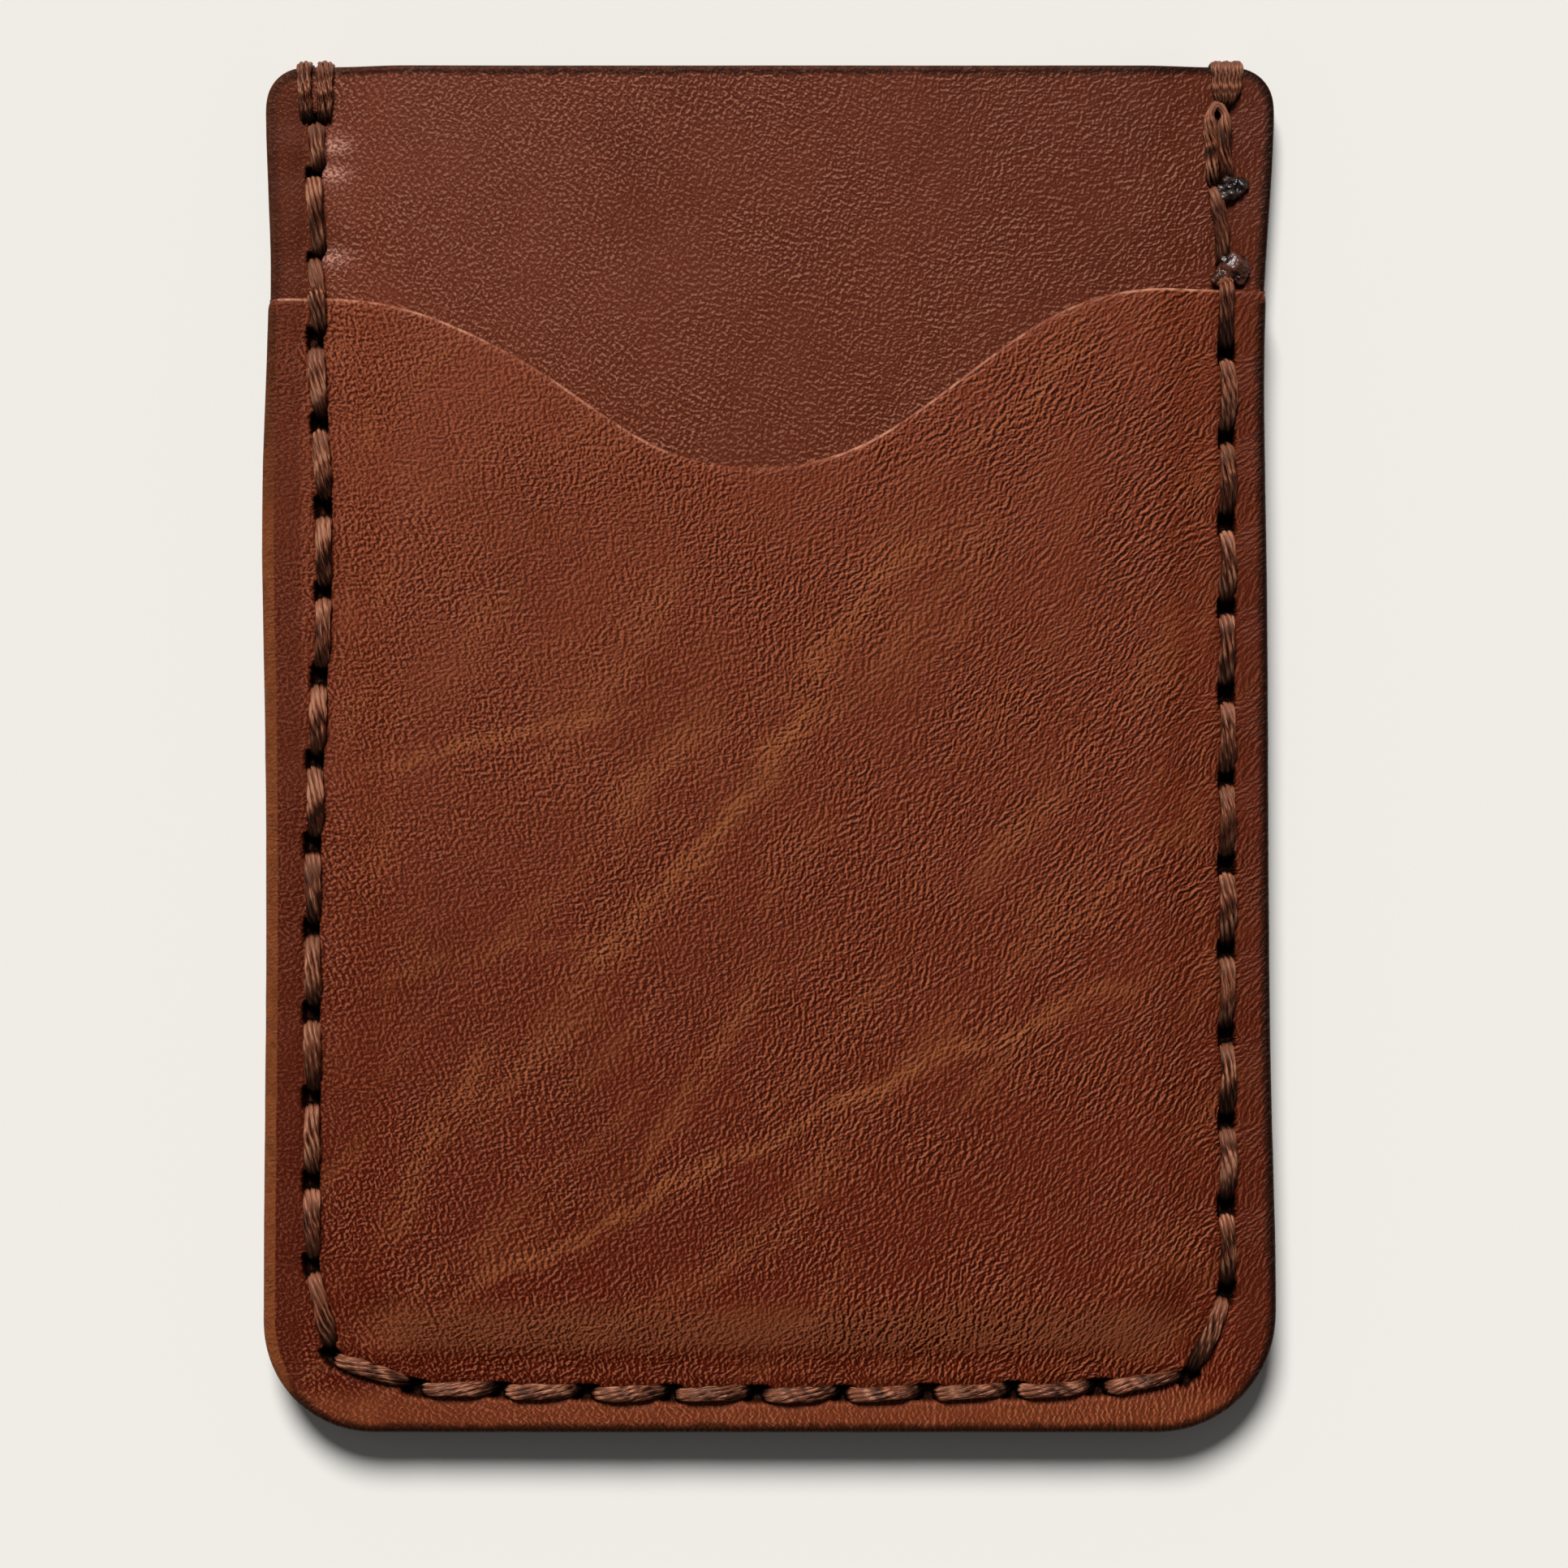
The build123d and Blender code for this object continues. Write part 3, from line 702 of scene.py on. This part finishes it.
def leather(name, look):
    """Aniline leather: fine ridges that run one way, lighter veins, edges that show wear or dye, and painted
    shade and highlights on the grain, seam and edges.
    """
    material, tree = new_material(name)
    look = {key: colour(*value) if isinstance(value, tuple) else value for key, value in look.items()}
    place = node(tree, "TexCoord").outputs["Object"]
    place = node(tree, "Mapping", Vector=place, Scale=(1000, 1000, 1000)).outputs[0]
    bent = shifted(shifted(place, 0.1, look["meander"]), 2.0, look["wiggle"])
    height, strength = grain(tree, look, place, bent)
    tall = product(height, strength)
    bump = node(tree, "Bump", Height=tall, Strength=1.0, Distance=look["relief"] * MM).outputs[0]
    base = body_colour(tree, look, place, bent, height, strength)
    base = edge_colour(tree, look, place, seam_colour(tree, look, place, base, height))
    # Painted shade: near black inside the stitch holes.
    base = mixed(product(attribute(tree, "pit"), 0.93), base, colour(14, 6, 4))
    rough = remap(noise(bent, 0.5, 3), 0.3, 0.7, look["rough"] - 0.05, look["rough"] + 0.05)
    finish_material(tree, base, bump, rough, look["specular"])
    return material


# Angles are in degrees, turn_x and turn_y in radians a millimetre, places and relief in millimetres,
# and colours in screen values
FRONT_LOOK = dict(
    angle=55, turn_x=-0.0035, turn_y=-0.0025, straight=0.52, straighter=0.009,
    meander=1.2, wiggle=0.09,
    broad=0.32, ridges=0.38, finer=0.34, pores=0.2, sharp=1.1,
    relief=0.072, left_relief=0.86, right_relief=1.2,
    middle=0.585, crest_low=0.56, crest_high=0.95, crease=0.74, crest_tone_and_highlight=0.7,
    top=(120, 59, 38), low=(71, 14, 4), right=(92, 31, 12),
    top_y=34, low_y=-44, vein_angle=47, vein=0.25, drawn=0.58,
    vein_colour=(150, 88, 48), deep=(72, 25, 12), crease_colour=(46, 11, 3),
    ridge_colour=(161, 90, 60), margin_colour=(146, 78, 46),
    painted_light_colour=(150, 82, 52), wear_and_highlight_colour=(180, 124, 98), pucker_highlight=(198, 142, 124),
    margin=0.3, painted_light_band=0.58, dyed=0.6, dyed_right=0.9, wear_and_highlight=1.0, tan_above=0.2,
    rim=(44, 18, 8), tan=(120, 64, 34),
    edge_line=(92, 52, 32), edge_paint_and_shade=(17, 7, 4),
    rough=0.4, specular=0.045,
)
MIDDLE_LOOK = dict(
    FRONT_LOOK,
    angle=22, turn_x=0.013, turn_y=0, straight=0.28, straighter=0.011,
    broad=0.34, ridges=0.34, finer=0.36, sharp=2.3,
    relief=0.041, left_relief=0.98, right_relief=1.12,
    middle=0.36, crest_low=0.38, crest_high=0.85, crease=0.4, crest_tone_and_highlight=0.54,
    # On the middle panel, right is painted shade in place of a sheen that is brighter on the left.
    top=(108, 54, 38), low=(104, 48, 28), right=(58, 9, 0),
    top_y=47, low_y=19, vein=0.1, drawn=0.0,
    vein_colour=(122, 72, 50), deep=(74, 30, 15), crease_colour=(52, 17, 9),
    ridge_colour=(162, 108, 84),
    margin=0.0, painted_light_band=0.0, dyed=0.7, dyed_right=0.55, wear_and_highlight=0.0, tan_above=0.4,
    rim=(44, 20, 12), tan=(84, 44, 28),
)
BACK_LOOK = dict(FRONT_LOOK, angle=62, relief=0.035, vein=0.3, drawn=0.0, wear_and_highlight=0.0, margin=0.0, painted_light_band=0.0)


def thread_material():
    """Waxed thread: light and dark filaments along each strand, partly its own tone and partly painted
    highlight and shade, with painted shade where it goes down into the leather and a painted highlight where
    it rises out of it.
    """
    material, tree = new_material("waxed_thread")
    around = node(tree, "UVMap", {"uv_map": "strand"}).outputs[0]
    place = node(tree, "TexCoord").outputs["Object"]
    lines = node(tree, "Mapping", Vector=around, Scale=(4.5, 0.6, 1.0)).outputs[0]
    filaments = noise(moved(lines, scaled(place, 420.0)), 1.0, 2, 0.55)
    fuzz = noise(place, 5200, 2, 0.6)
    height = added(filaments, product(fuzz, 0.25))
    bump = node(tree, "Bump", Height=height, Strength=1.0, Distance=0.075 * MM).outputs[0]
    # Light and dark filaments: partly the thread's own tone, partly painted highlight and shade.
    base = mixed(remap(filaments, 0.34, 0.6), colour(32, 13, 7), colour(116, 64, 43))
    base = mixed(remap(filaments, 0.52, 0.66), base, colour(166, 114, 88))
    # Painted light on the thread: below zero a painted highlight, above zero painted shade, up to near black
    # where the thread goes into the leather.
    base = mixed(remap(attribute(tree, "sunk"), 0.0, -0.5, 0, 0.3), base, colour(164, 108, 82))
    base = mixed(remap(attribute(tree, "sunk"), 0.0, 1.0, smooth=False), base, colour(12, 6, 4))
    finish_material(tree, base, bump, 0.42, 0.11)
    return material


def melted_material():
    """Thread melted into hard beads, glossy and pitted: nearly black the upper one, brown the lower."""
    material, tree = new_material("melted_thread")
    place = node(tree, "TexCoord").outputs["Object"]
    lumps = noise(place, 1500, 3, 0.6)
    bump = node(tree, "Bump", Height=lumps, Strength=1.0, Distance=0.2 * MM).outputs[0]
    brown = mixed(remap(lumps, 0.38, 0.62), colour(26, 10, 6), colour(86, 47, 35))
    black = mixed(remap(lumps, 0.42, 0.7), colour(15, 9, 7), colour(72, 52, 46))
    high = node(tree, "SeparateXYZ", Vector=place).outputs[1]
    base = mixed(remap(high, 35 * MM, 37 * MM), brown, black)
    finish_material(tree, base, bump, 0.3, 0.4, coat=0.15, coat_roughness=0.15)
    return material


def cement_material():
    """Dried cement, squeezed thin between the panels and stained by the edge dye."""
    material, tree = new_material("cement")
    place = node(tree, "TexCoord").outputs["Object"]
    specks = noise(place, 900, 3, 0.6)
    bump = node(tree, "Bump", Height=specks, Strength=0.5, Distance=0.03 * MM).outputs[0]
    base = mixed(remap(specks, 0.35, 0.65), colour(52, 28, 17), colour(92, 58, 38))
    finish_material(tree, base, bump, 0.6, 0.3)
    return material


# ---------------- thread


def hermite_line(points, spacing=0.12):
    """A smooth line through the points, evenly sampled."""
    points = np.asarray(points, float)
    padded = np.vstack([2 * points[0] - points[1], points, 2 * points[-1] - points[-2]])
    t = np.linspace(0, 1, 12, endpoint=False)[:, None]
    spans = []
    for a, b, c, d in zip(padded, padded[1:], padded[2:], padded[3:]):
        square, cube = 2 * a - 5 * b + 4 * c - d, 3 * b - a - 3 * c + d
        spans.append(0.5 * (2 * b + (c - a) * t + square * t**2 + cube * t**3))
    return resample(np.vstack([*spans, points[-1:]]), spacing)


class Strands:
    """Collects strand tubes for one piece."""

    def __init__(self):
        self.points, self.faces, self.uvs, self.sunk, self.count = [], [], [], [], 0

    def tube(self, path, radius, sunk, sides=6):
        """Adds a round tube along the path, closed at both ends."""
        tangent = unit(np.gradient(path, axis=0))
        guide = np.cross(tangent[0], (0.3, 0.4, 0.87))
        normals = []
        for t in tangent:
            guide = guide - t * guide.dot(t)
            guide = guide / np.linalg.norm(guide)
            normals.append(guide)
        normals = np.array(normals)
        binormals = np.cross(tangent, normals)
        turn = np.linspace(0, 2 * math.pi, sides, endpoint=False)[None, :, None]
        radius = np.broadcast_to(radius, len(path))[:, None, None]
        ring = normals[:, None] * np.cos(turn) + binormals[:, None] * np.sin(turn)
        rows, base = len(path), self.count
        self.points.append((path[:, None] + ring * radius).reshape(-1, 3))
        self.sunk.append(np.repeat(sunk, sides))
        along = lengths_along(path)
        for r in range(rows - 1):
            for s in range(sides):
                n = (s + 1) % sides
                corners = [(r, s), (r, n), (r + 1, n), (r + 1, s)]
                self.faces.append([base + a * sides + b for a, b in corners])
                turns = [s / sides, (s + 1) / sides, (s + 1) / sides, s / sides]
                self.uvs += [(u, along[a] / 0.55) for u, (a, _) in zip(turns, corners)]
        for row, order in ((0, range(sides - 1, -1, -1)), (rows - 1, range(sides))):
            self.faces.append([base + row * sides + s for s in order])
            self.uvs += [(0.0, 0.0)] * sides
        self.count += rows * sides

    def bundle(self, path, lateral, half_width, half_height, sunk, strand=0.21, pitch=11.0, strands=6):
        """Adds a flat bundle of uneven strands that wind slowly round the path."""
        tangent = unit(np.gradient(path, axis=0))
        lateral = np.broadcast_to(lateral, path.shape)
        lateral = unit(lateral - tangent * (lateral * tangent).sum(1)[:, None])
        up = np.cross(lateral, tangent)
        along = lengths_along(path)
        width = np.broadcast_to(half_width, len(path))
        height = np.broadcast_to(half_height, len(path))
        phase = rng.uniform(0, 2 * math.pi)
        for k in range(strands):
            turn = 2 * math.pi * (along / pitch + k / strands) + phase
            over = 1 + 0.14 * np.sin(along * 2.1 + k * 2.3)
            line = path + lateral * (width * over * np.cos(turn))[:, None]
            line = line + up * (height * over * np.sin(turn))[:, None]
            self.tube(line, strand * (0.9 + 0.2 * rng.random()), sunk)

    def piece(self, name, material):
        sunk = {"sunk": np.concatenate(self.sunk)}
        made = make_mesh(name, np.vstack(self.points), self.faces, material, sunk)
        layer = made.data.uv_layers.new(name="strand")
        layer.data.foreach_set("uv", np.asarray(self.uvs, np.float32).ravel())
        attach(made, BODY)
        return made


def surface_z(points):
    """The height of the seam margin's surface, front or middle panel."""
    step = smoothstep(0.25, -0.15, points[..., 1] - wave_y(points[..., 0]))
    return MIDDLE_TOP + (FRONT_TOP - MIDDLE_TOP) * step


def asides(k):
    """How far inwards of its holes' middles each stitch starts and ends."""
    if k == LAST_STITCH - 1:
        return 0.75, 0.1
    if k >= RIGHT_RUN:
        return 0.0, 0.08
    if k >= BOTTOM_RUN:
        return -0.04, 0.2
    return (0.1, 0.2) if ON_FRONT[k] else (0.02, 0.42)


def stitch_width(k):
    """Half the width of a front stitch, without its strands' own thickness."""
    if k == LAST_STITCH - 1:
        return 0.3
    return 0.32 if BOTTOM_RUN <= k < RIGHT_RUN else 0.39


def stitch_path(k):
    """The front stitch from hole k to hole k + 1: steeply out of one hole, and slowly down to the next.

    On the right row it runs from hole k + 1 to hole k, as every stitch there was pulled down.
    """
    first, last = (k + 1, k) if k >= RIGHT_RUN else (k, k + 1)
    way = HOLES[last] - HOLES[first]
    way = way / np.linalg.norm(way)
    start_aside, end_aside = asides(k)
    start = HOLES[first] + way * (HOLE_LONG[first] - 0.3) + INNER[first] * start_aside
    end = HOLES[last] - way * (HOLE_LONG[last] - 0.35) + INNER[last] * end_aside
    length = np.linalg.norm(end - start)
    ahead = (end - start) / length
    bow = -INNER[k] * (rng.uniform(0.08, 0.18) if k >= RIGHT_RUN else rng.uniform(-0.06, 0.06))
    profile = [(0.0, -0.9), (0.12, -0.35), (0.36, 0.1), (0.85, 0.33), (0.42 * length, 0.4)]
    profile += [(length - 1.7, 0.32), (length - 0.95, 0.13), (length - 0.4, -0.2), (length - 0.1, -0.6)]
    profile += [(length, -0.95)]
    places = [start + ahead * s + bow * math.sin(math.pi * s / length) for s, _ in profile]
    floors = surface_z(np.array(places))
    if abs(floors[0] - floors[-1]) > 0.5:
        return step_path(start, ahead, length, floors)
    return hermite_line([(*p, z + rise) for p, z, (_, rise) in zip(places, floors, profile)])


def step_path(start, ahead, length, floors):
    """A front stitch that climbs over the front panel's top edge."""
    rising = floors[0] < floors[-1]
    edge = abs((wave_y(start[0]) - start[1]) / ahead[1])
    low, high = MIDDLE_TOP + 0.32, FRONT_TOP + 0.34
    near, far = (edge - 0.62, edge + 0.02) if rising else (edge + 0.62, edge - 0.02)
    levels = (low, high) if rising else (high, low)
    profile = [(0.0, levels[0] - 1.2), (0.04, levels[0] - 0.7), (0.34, levels[0] - 0.15)]
    if rising:
        profile += [(min(1.0, near - 0.3), low), (near, low + 0.12), (far, high), (far + 0.8, high + 0.06)]
        profile += [(length - 1.1, high), (length - 0.36, high - 0.25)]
    else:
        profile += [(1.1, high), (far - 0.8, high + 0.06), (far, high), (near, low + 0.2)]
        profile += [(length - 0.3, levels[1] - 0.12)]
    profile += [(length - 0.03, levels[1] - 0.7), (length, levels[1] - 1.2)]
    return hermite_line([(*(start + ahead * s), z) for s, z in profile])


def across_stitch(k):
    """The direction across stitch k, level with the panels."""
    aside = np.array([*(INNER[k] + INNER[k + 1]), 0.0])
    return aside / np.linalg.norm(aside)


def add_stitch(strands, k):
    """A front stitch: a flat bundle, with painted shade where it goes down and a painted highlight where it
    lies highest.
    """
    path = stitch_path(k)
    share = np.linspace(0, 1, len(path))
    deep = smoothstep(0.1, -0.35, path[:, 2] - surface_z(path[:, :2]))
    if k >= RIGHT_RUN:
        shade, shine = smoothstep(0.3, 0.9, share), smoothstep(0.4, 0.15, share)
    elif k >= BOTTOM_RUN:
        shade, shine = smoothstep(0.62, 0.93, share), 0.6 * smoothstep(0.6, 0.2, share)
    else:
        shade, shine = smoothstep(0.45, 0.93, share), smoothstep(0.5, 0.2, share)
    # Painted shade where the stitch goes into the leather and towards its end, and a painted highlight near
    # its start.
    sunk = np.maximum(deep, 0.85 * shade) - 0.5 * (1 - deep) * smoothstep(0.03, 0.12, share) * shine
    swell = 0.78 + 0.22 * np.sin(math.pi * np.clip(share * 1.1, 0, 1)) ** 0.7
    strands.bundle(path, across_stitch(k), stitch_width(k) * swell, 0.2, sunk)


def back_stitch(strands, k):
    """The back of the seam: flatter stitches in grooves, so that the back face stays level."""
    start = HOLES[k] + HEADINGS[k] * 0.15 + INNER[k] * 0.22
    end = HOLES[k + 1] - HEADINGS[k + 1] * 0.15 - INNER[k + 1] * 0.22
    length = np.linalg.norm(end - start)
    ahead = (end - start) / length
    profile = [(0.0, 1.1), (0.05, 0.8), (0.4, 0.4), (1.1, 0.29), (0.5 * length, 0.27)]
    profile += [(length - 1.1, 0.29), (length - 0.4, 0.4), (length - 0.05, 0.8), (length, 1.1)]
    path = hermite_line([(*(start + ahead * s), z) for s, z in profile], 0.16)
    # Painted shade where the back stitch goes into its holes.
    sunk = smoothstep(0.4, 0.85, path[:, 2])
    strands.bundle(path, across_stitch(k), 0.4, 0.1, sunk, strand=0.14)


def wrap_path(hole, spread_x, edge_x):
    """A turn of thread from an end hole, up over the top edge, and back to the hole behind."""
    y0 = hole[1] + 0.1
    profile = [
        (y0, 1.5, 0), (y0 + 0.02, 2.35, 0.05), (y0 + 0.3, 2.95, 0.35), (y0 + 1.2, 3.1, 0.75),
        (TOP_EDGE - 0.6, 3.12, 0.95), (TOP_EDGE + 0.02, 2.86, 1), (TOP_EDGE + 0.2, 2.0, 1),
        (TOP_EDGE + 0.2, 0.95, 1), (TOP_EDGE - 0.02, 0.42, 1), (TOP_EDGE - 0.7, 0.3, 0.9),
        (y0 + 1.2, 0.3, 0.5), (y0 + 0.3, 0.42, 0.2), (y0, 1.1, 0),
    ]
    return hermite_line([(hole[0] + spread_x + (edge_x - spread_x) * out, y, z) for y, z, out in profile])


def add_wrap(strands, hole, spread_x, edge_x, narrow, wide):
    path = wrap_path(hole, spread_x, edge_x)
    low = smoothstep(1.5, 0.1, path[:, 1] - hole[1])
    width = wide + (narrow - wide) * low
    flat = smoothstep(1.2, 0.5, path[:, 2])
    # Painted shade near the hole and a painted highlight over the top edge.
    sunk = 0.95 * low - 0.3 * smoothstep(TOP_EDGE - 1.2, TOP_EDGE, path[:, 1])
    strands.bundle(path, (1, 0, 0), width, 0.17 - 0.06 * flat, sunk, strand=0.16, pitch=12.0)


def add_eye(strands):
    """The last stitch is the thread doubled back on itself, with a small eye left at its top."""
    legs = [(30.9, 38.7), (30.7, 39.6), (30.6, 41.2), (30.48, 42.8), (30.5, 43.75), (30.98, 44.45)]
    legs += [(31.5, 43.75), (31.52, 43.0), (31.5, 41.2), (31.72, 39.9), (31.75, 38.8)]
    rises = [-0.3, 0.25, 0.42, 0.4, 0.4, 0.36, 0.4, 0.45, 0.45, 0.3, -0.2]
    path = hermite_line([(x, y, MIDDLE_TOP + rise) for (x, y), rise in zip(legs, rises)])
    tangent = np.gradient(path, axis=0)
    aside = np.column_stack([tangent[:, 1], -tangent[:, 0], np.zeros(len(path))])
    top = smoothstep(42.9, 43.9, path[:, 1])
    # Painted shade on the lower legs and a painted highlight near the eye.
    sunk = 0.8 * smoothstep(40.6, 39.2, path[:, 1]) - 0.4 * smoothstep(41.5, 43.5, path[:, 1])
    strands.bundle(path, aside, 0.36 - 0.24 * top, 0.2 - 0.06 * top, sunk, strand=0.15, pitch=10.0)


def unit_sphere():
    """The points and triangles of a fine round ball."""
    bpy.ops.mesh.primitive_ico_sphere_add(subdivisions=4, radius=1)
    ball = bpy.context.object
    points = np.array([v.co for v in ball.data.vertices])
    faces = [list(face.vertices) for face in ball.data.polygons]
    bpy.data.objects.remove(ball)
    return points, faces


def melted_bead(name, lumps, node_name):
    """A melted thread end: rounded, uneven lumps run together. Each lump is x, y and radius."""
    ball, triangles = unit_sphere()
    points, faces = [], []
    for seed, (x, y, radius) in enumerate(lumps):
        bulge = 1 + 0.17 * smooth_noise(ball[:, 0] * 1.7 + 5, ball[:, 1] * 1.7 + ball[:, 2] * 1.3, seed + 3)
        bulge += 0.12 * smooth_noise(ball[:, 0] * 4 + ball[:, 2] * 3, ball[:, 1] * 4, seed + 30)
        own = ball * bulge[:, None] * (radius, radius, 0.26 + 0.3 * radius)
        own[:, 2] = np.where(own[:, 2] < 0, own[:, 2] * 0.6, own[:, 2])
        faces += [[i + len(ball) * seed for i in face] for face in triangles]
        points.append(own + (x, y, MIDDLE_TOP + 0.24))
    made = make_mesh(name, np.vstack(points), faces, MELTED)
    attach(made, BODY)
    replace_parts(made, node_name)


# ---------------- making everything


def front_top(points):
    return FRONT_TOP + formed(points, FRONT_RISE) + stitch_relief(points) + undulation(points, 11)


def front_under(points):
    return FRONT_BASE + formed(points, FRONT_RISE)


def middle_top(points):
    bare = smoothstep(-0.4, 0.1, points[:, 1] - wave_y(points[:, 0]))
    relief = stitch_relief(points) + undulation(points, 23)
    return MIDDLE_TOP + formed(points, MIDDLE_RISE) + bare * relief


def middle_under(points):
    return MIDDLE_BASE + formed(points, MIDDLE_RISE)


def back_face(points):
    relief = stitch_relief(points) * 0.9 + undulation(points, 31) - 0.05
    return np.minimum(relief, 0.0)


def back_inside(points):
    return np.full(len(points), -BACK_TOP)


def make_panels():
    """The three leather panels, in place of the plain CAD ones."""
    full, wavy = panel_loop(False), panel_loop(True)
    bared = lambda p: p[:, 1] > wave_y(p[:, 0]) - 2
    for name, slot, look, loop, top, under, fine, radius, fine_where in (
        ("front_panel", "front_leather", FRONT_LOOK, wavy, front_top, front_under, 0.36, 0.42, everywhere),
        ("middle_panel", "middle_leather", MIDDLE_LOOK, full, middle_top, middle_under, 0.36, 0.3, bared),
        ("back_panel", "back_leather", BACK_LOOK, full, back_face, back_inside, 0.5, 0.35, everywhere),
    ):
        material = leather(slot, look)
        piece = leather_panel(name + "_leather", loop, top, under, material, fine, radius, fine_where)
        if look is BACK_LOOK:
            piece.data.transform(((1, 0, 0, 0), (0, 1, 0, 0), (0, 0, -1, 0), (0, 0, 0, 1)))
            piece.data.flip_normals()
        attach(piece, BODY)
        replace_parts(piece, name)


def make_thread():
    """The seam on both faces, the wraps over the top edge, and the melted ends."""
    runs = {
        "left": range(BOTTOM_RUN),
        "bottom": range(BOTTOM_RUN, RIGHT_RUN),
        "right": range(RIGHT_RUN, LAST_STITCH + 1),
    }
    for run, stitches in runs.items():
        front, back = Strands(), Strands()
        for k in stitches:
            if k == LAST_STITCH:
                add_eye(front)
            else:
                add_stitch(front, k)
            back_stitch(back, k)
        for strands, side in ((front, "front"), (back, "back")):
            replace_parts(strands.piece(f"seam_thread_{side}_{run}", THREAD), "seam_thread")
    for name, hole, turns, narrow, wide in (
        ("edge_wrap_left_outer", HOLES[0], [(-0.55, -0.78)], 0.34, 0.36),
        ("edge_wrap_left_inner", HOLES[0], [(0.6, 0.66)], 0.36, 0.4),
        ("edge_wrap_right_inner", HOLES[-1], [(-0.1, -0.3)], 0.16, 0.28),
        ("edge_wrap_right_outer", HOLES[-1], [(0.08, 0.42), (0.3, 1.1)], 0.14, 0.28),
    ):
        strands = Strands()
        for spread_x, edge_x in turns:
            add_wrap(strands, hole, spread_x, edge_x, narrow, wide)
        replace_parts(strands.piece(name + "_thread", THREAD), name)
    spiral = []
    for out in np.sqrt(np.arange(9)):
        x = 31.9 + 0.31 * out * math.cos(2.4 * out * out)
        y = 38.62 + 0.23 * out * math.sin(2.4 * out * out)
        spiral.append((x, y, 0.4 + 0.08 * math.sin(5 * out)))
    melted_bead("thread_end_bead_upper_melted", spiral, "thread_end_bead_upper")
    melted_bead(
        "thread_end_bead_lower_melted",
        [(32.15, 33.1, 1.08), (31.55, 32.75, 0.66), (31.05, 32.35, 0.5), (32.5, 32.55, 0.6)],
        "thread_end_bead_lower",
    )


def make_cement():
    """The CAD's cement strips keep their shape."""
    material = cement_material()
    for name in ("rear_glue_strip", "front_glue_strip"):
        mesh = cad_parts[name].data
        mesh.materials.clear()
        mesh.materials.append(material)


FLOOR_COLOUR = (0.778, 0.761, 0.728, 1)
KEY_POWER = 4.3
KEY_ANGLE = math.radians(21)
FILL_POWER = 0.1
FRAME_WIDTH = 108.6  # the width that the picture takes in at FRAME_HEIGHT over the floor
FRAME_HEIGHT = 3.2


def make_floor():
    material, tree = new_material("floor_paper")
    finish_material(tree, FLOOR_COLOUR, None, 0.9, 0.0)
    bpy.ops.mesh.primitive_plane_add(size=6, location=(0, 0, -0.00003))
    floor = bpy.context.object
    floor.name = "floor"
    floor.data.materials.append(material)


def make_lights():
    """A broad soft key from the top of the picture, a little to the left, and an even fill."""
    key = bpy.data.lights.new("key", "SUN")
    key.energy = KEY_POWER
    key.angle = KEY_ANGLE
    key.color = (1.0, 0.995, 0.985)
    lamp = bpy.data.objects.new("key", key)
    bpy.context.scene.collection.objects.link(lamp)
    toward = Vector((-0.2, 1.0, 1.13))
    lamp.rotation_mode = "QUATERNION"
    lamp.rotation_quaternion = toward.to_track_quat("Z", "Y")
    world = bpy.data.worlds.new("studio")
    world.use_nodes = True
    world.node_tree.nodes["Background"].inputs["Color"].default_value = (1.0, 0.99, 0.97, 1)
    world.node_tree.nodes["Background"].inputs["Strength"].default_value = FILL_POWER
    bpy.context.scene.world = world
    bpy.context.scene.view_settings.view_transform = "Standard"


def make_camera():
    """Straight down, with the holder where it lies in the picture."""
    data = bpy.data.cameras.new("camera")
    data.lens, data.sensor_width = 100, 36
    data.clip_start, data.clip_end = 0.01, 20
    camera = bpy.data.objects.new("camera", data)
    bpy.context.scene.collection.objects.link(camera)
    distance = FRAME_WIDTH * data.lens / data.sensor_width
    camera.location = (0.98 * MM, -2.67 * MM, (distance + FRAME_HEIGHT) * MM)
    bpy.context.scene.camera = camera


make_camera()
make_lights()
make_floor()
THREAD, MELTED = thread_material(), melted_material()
make_panels()
make_thread()
make_cement()
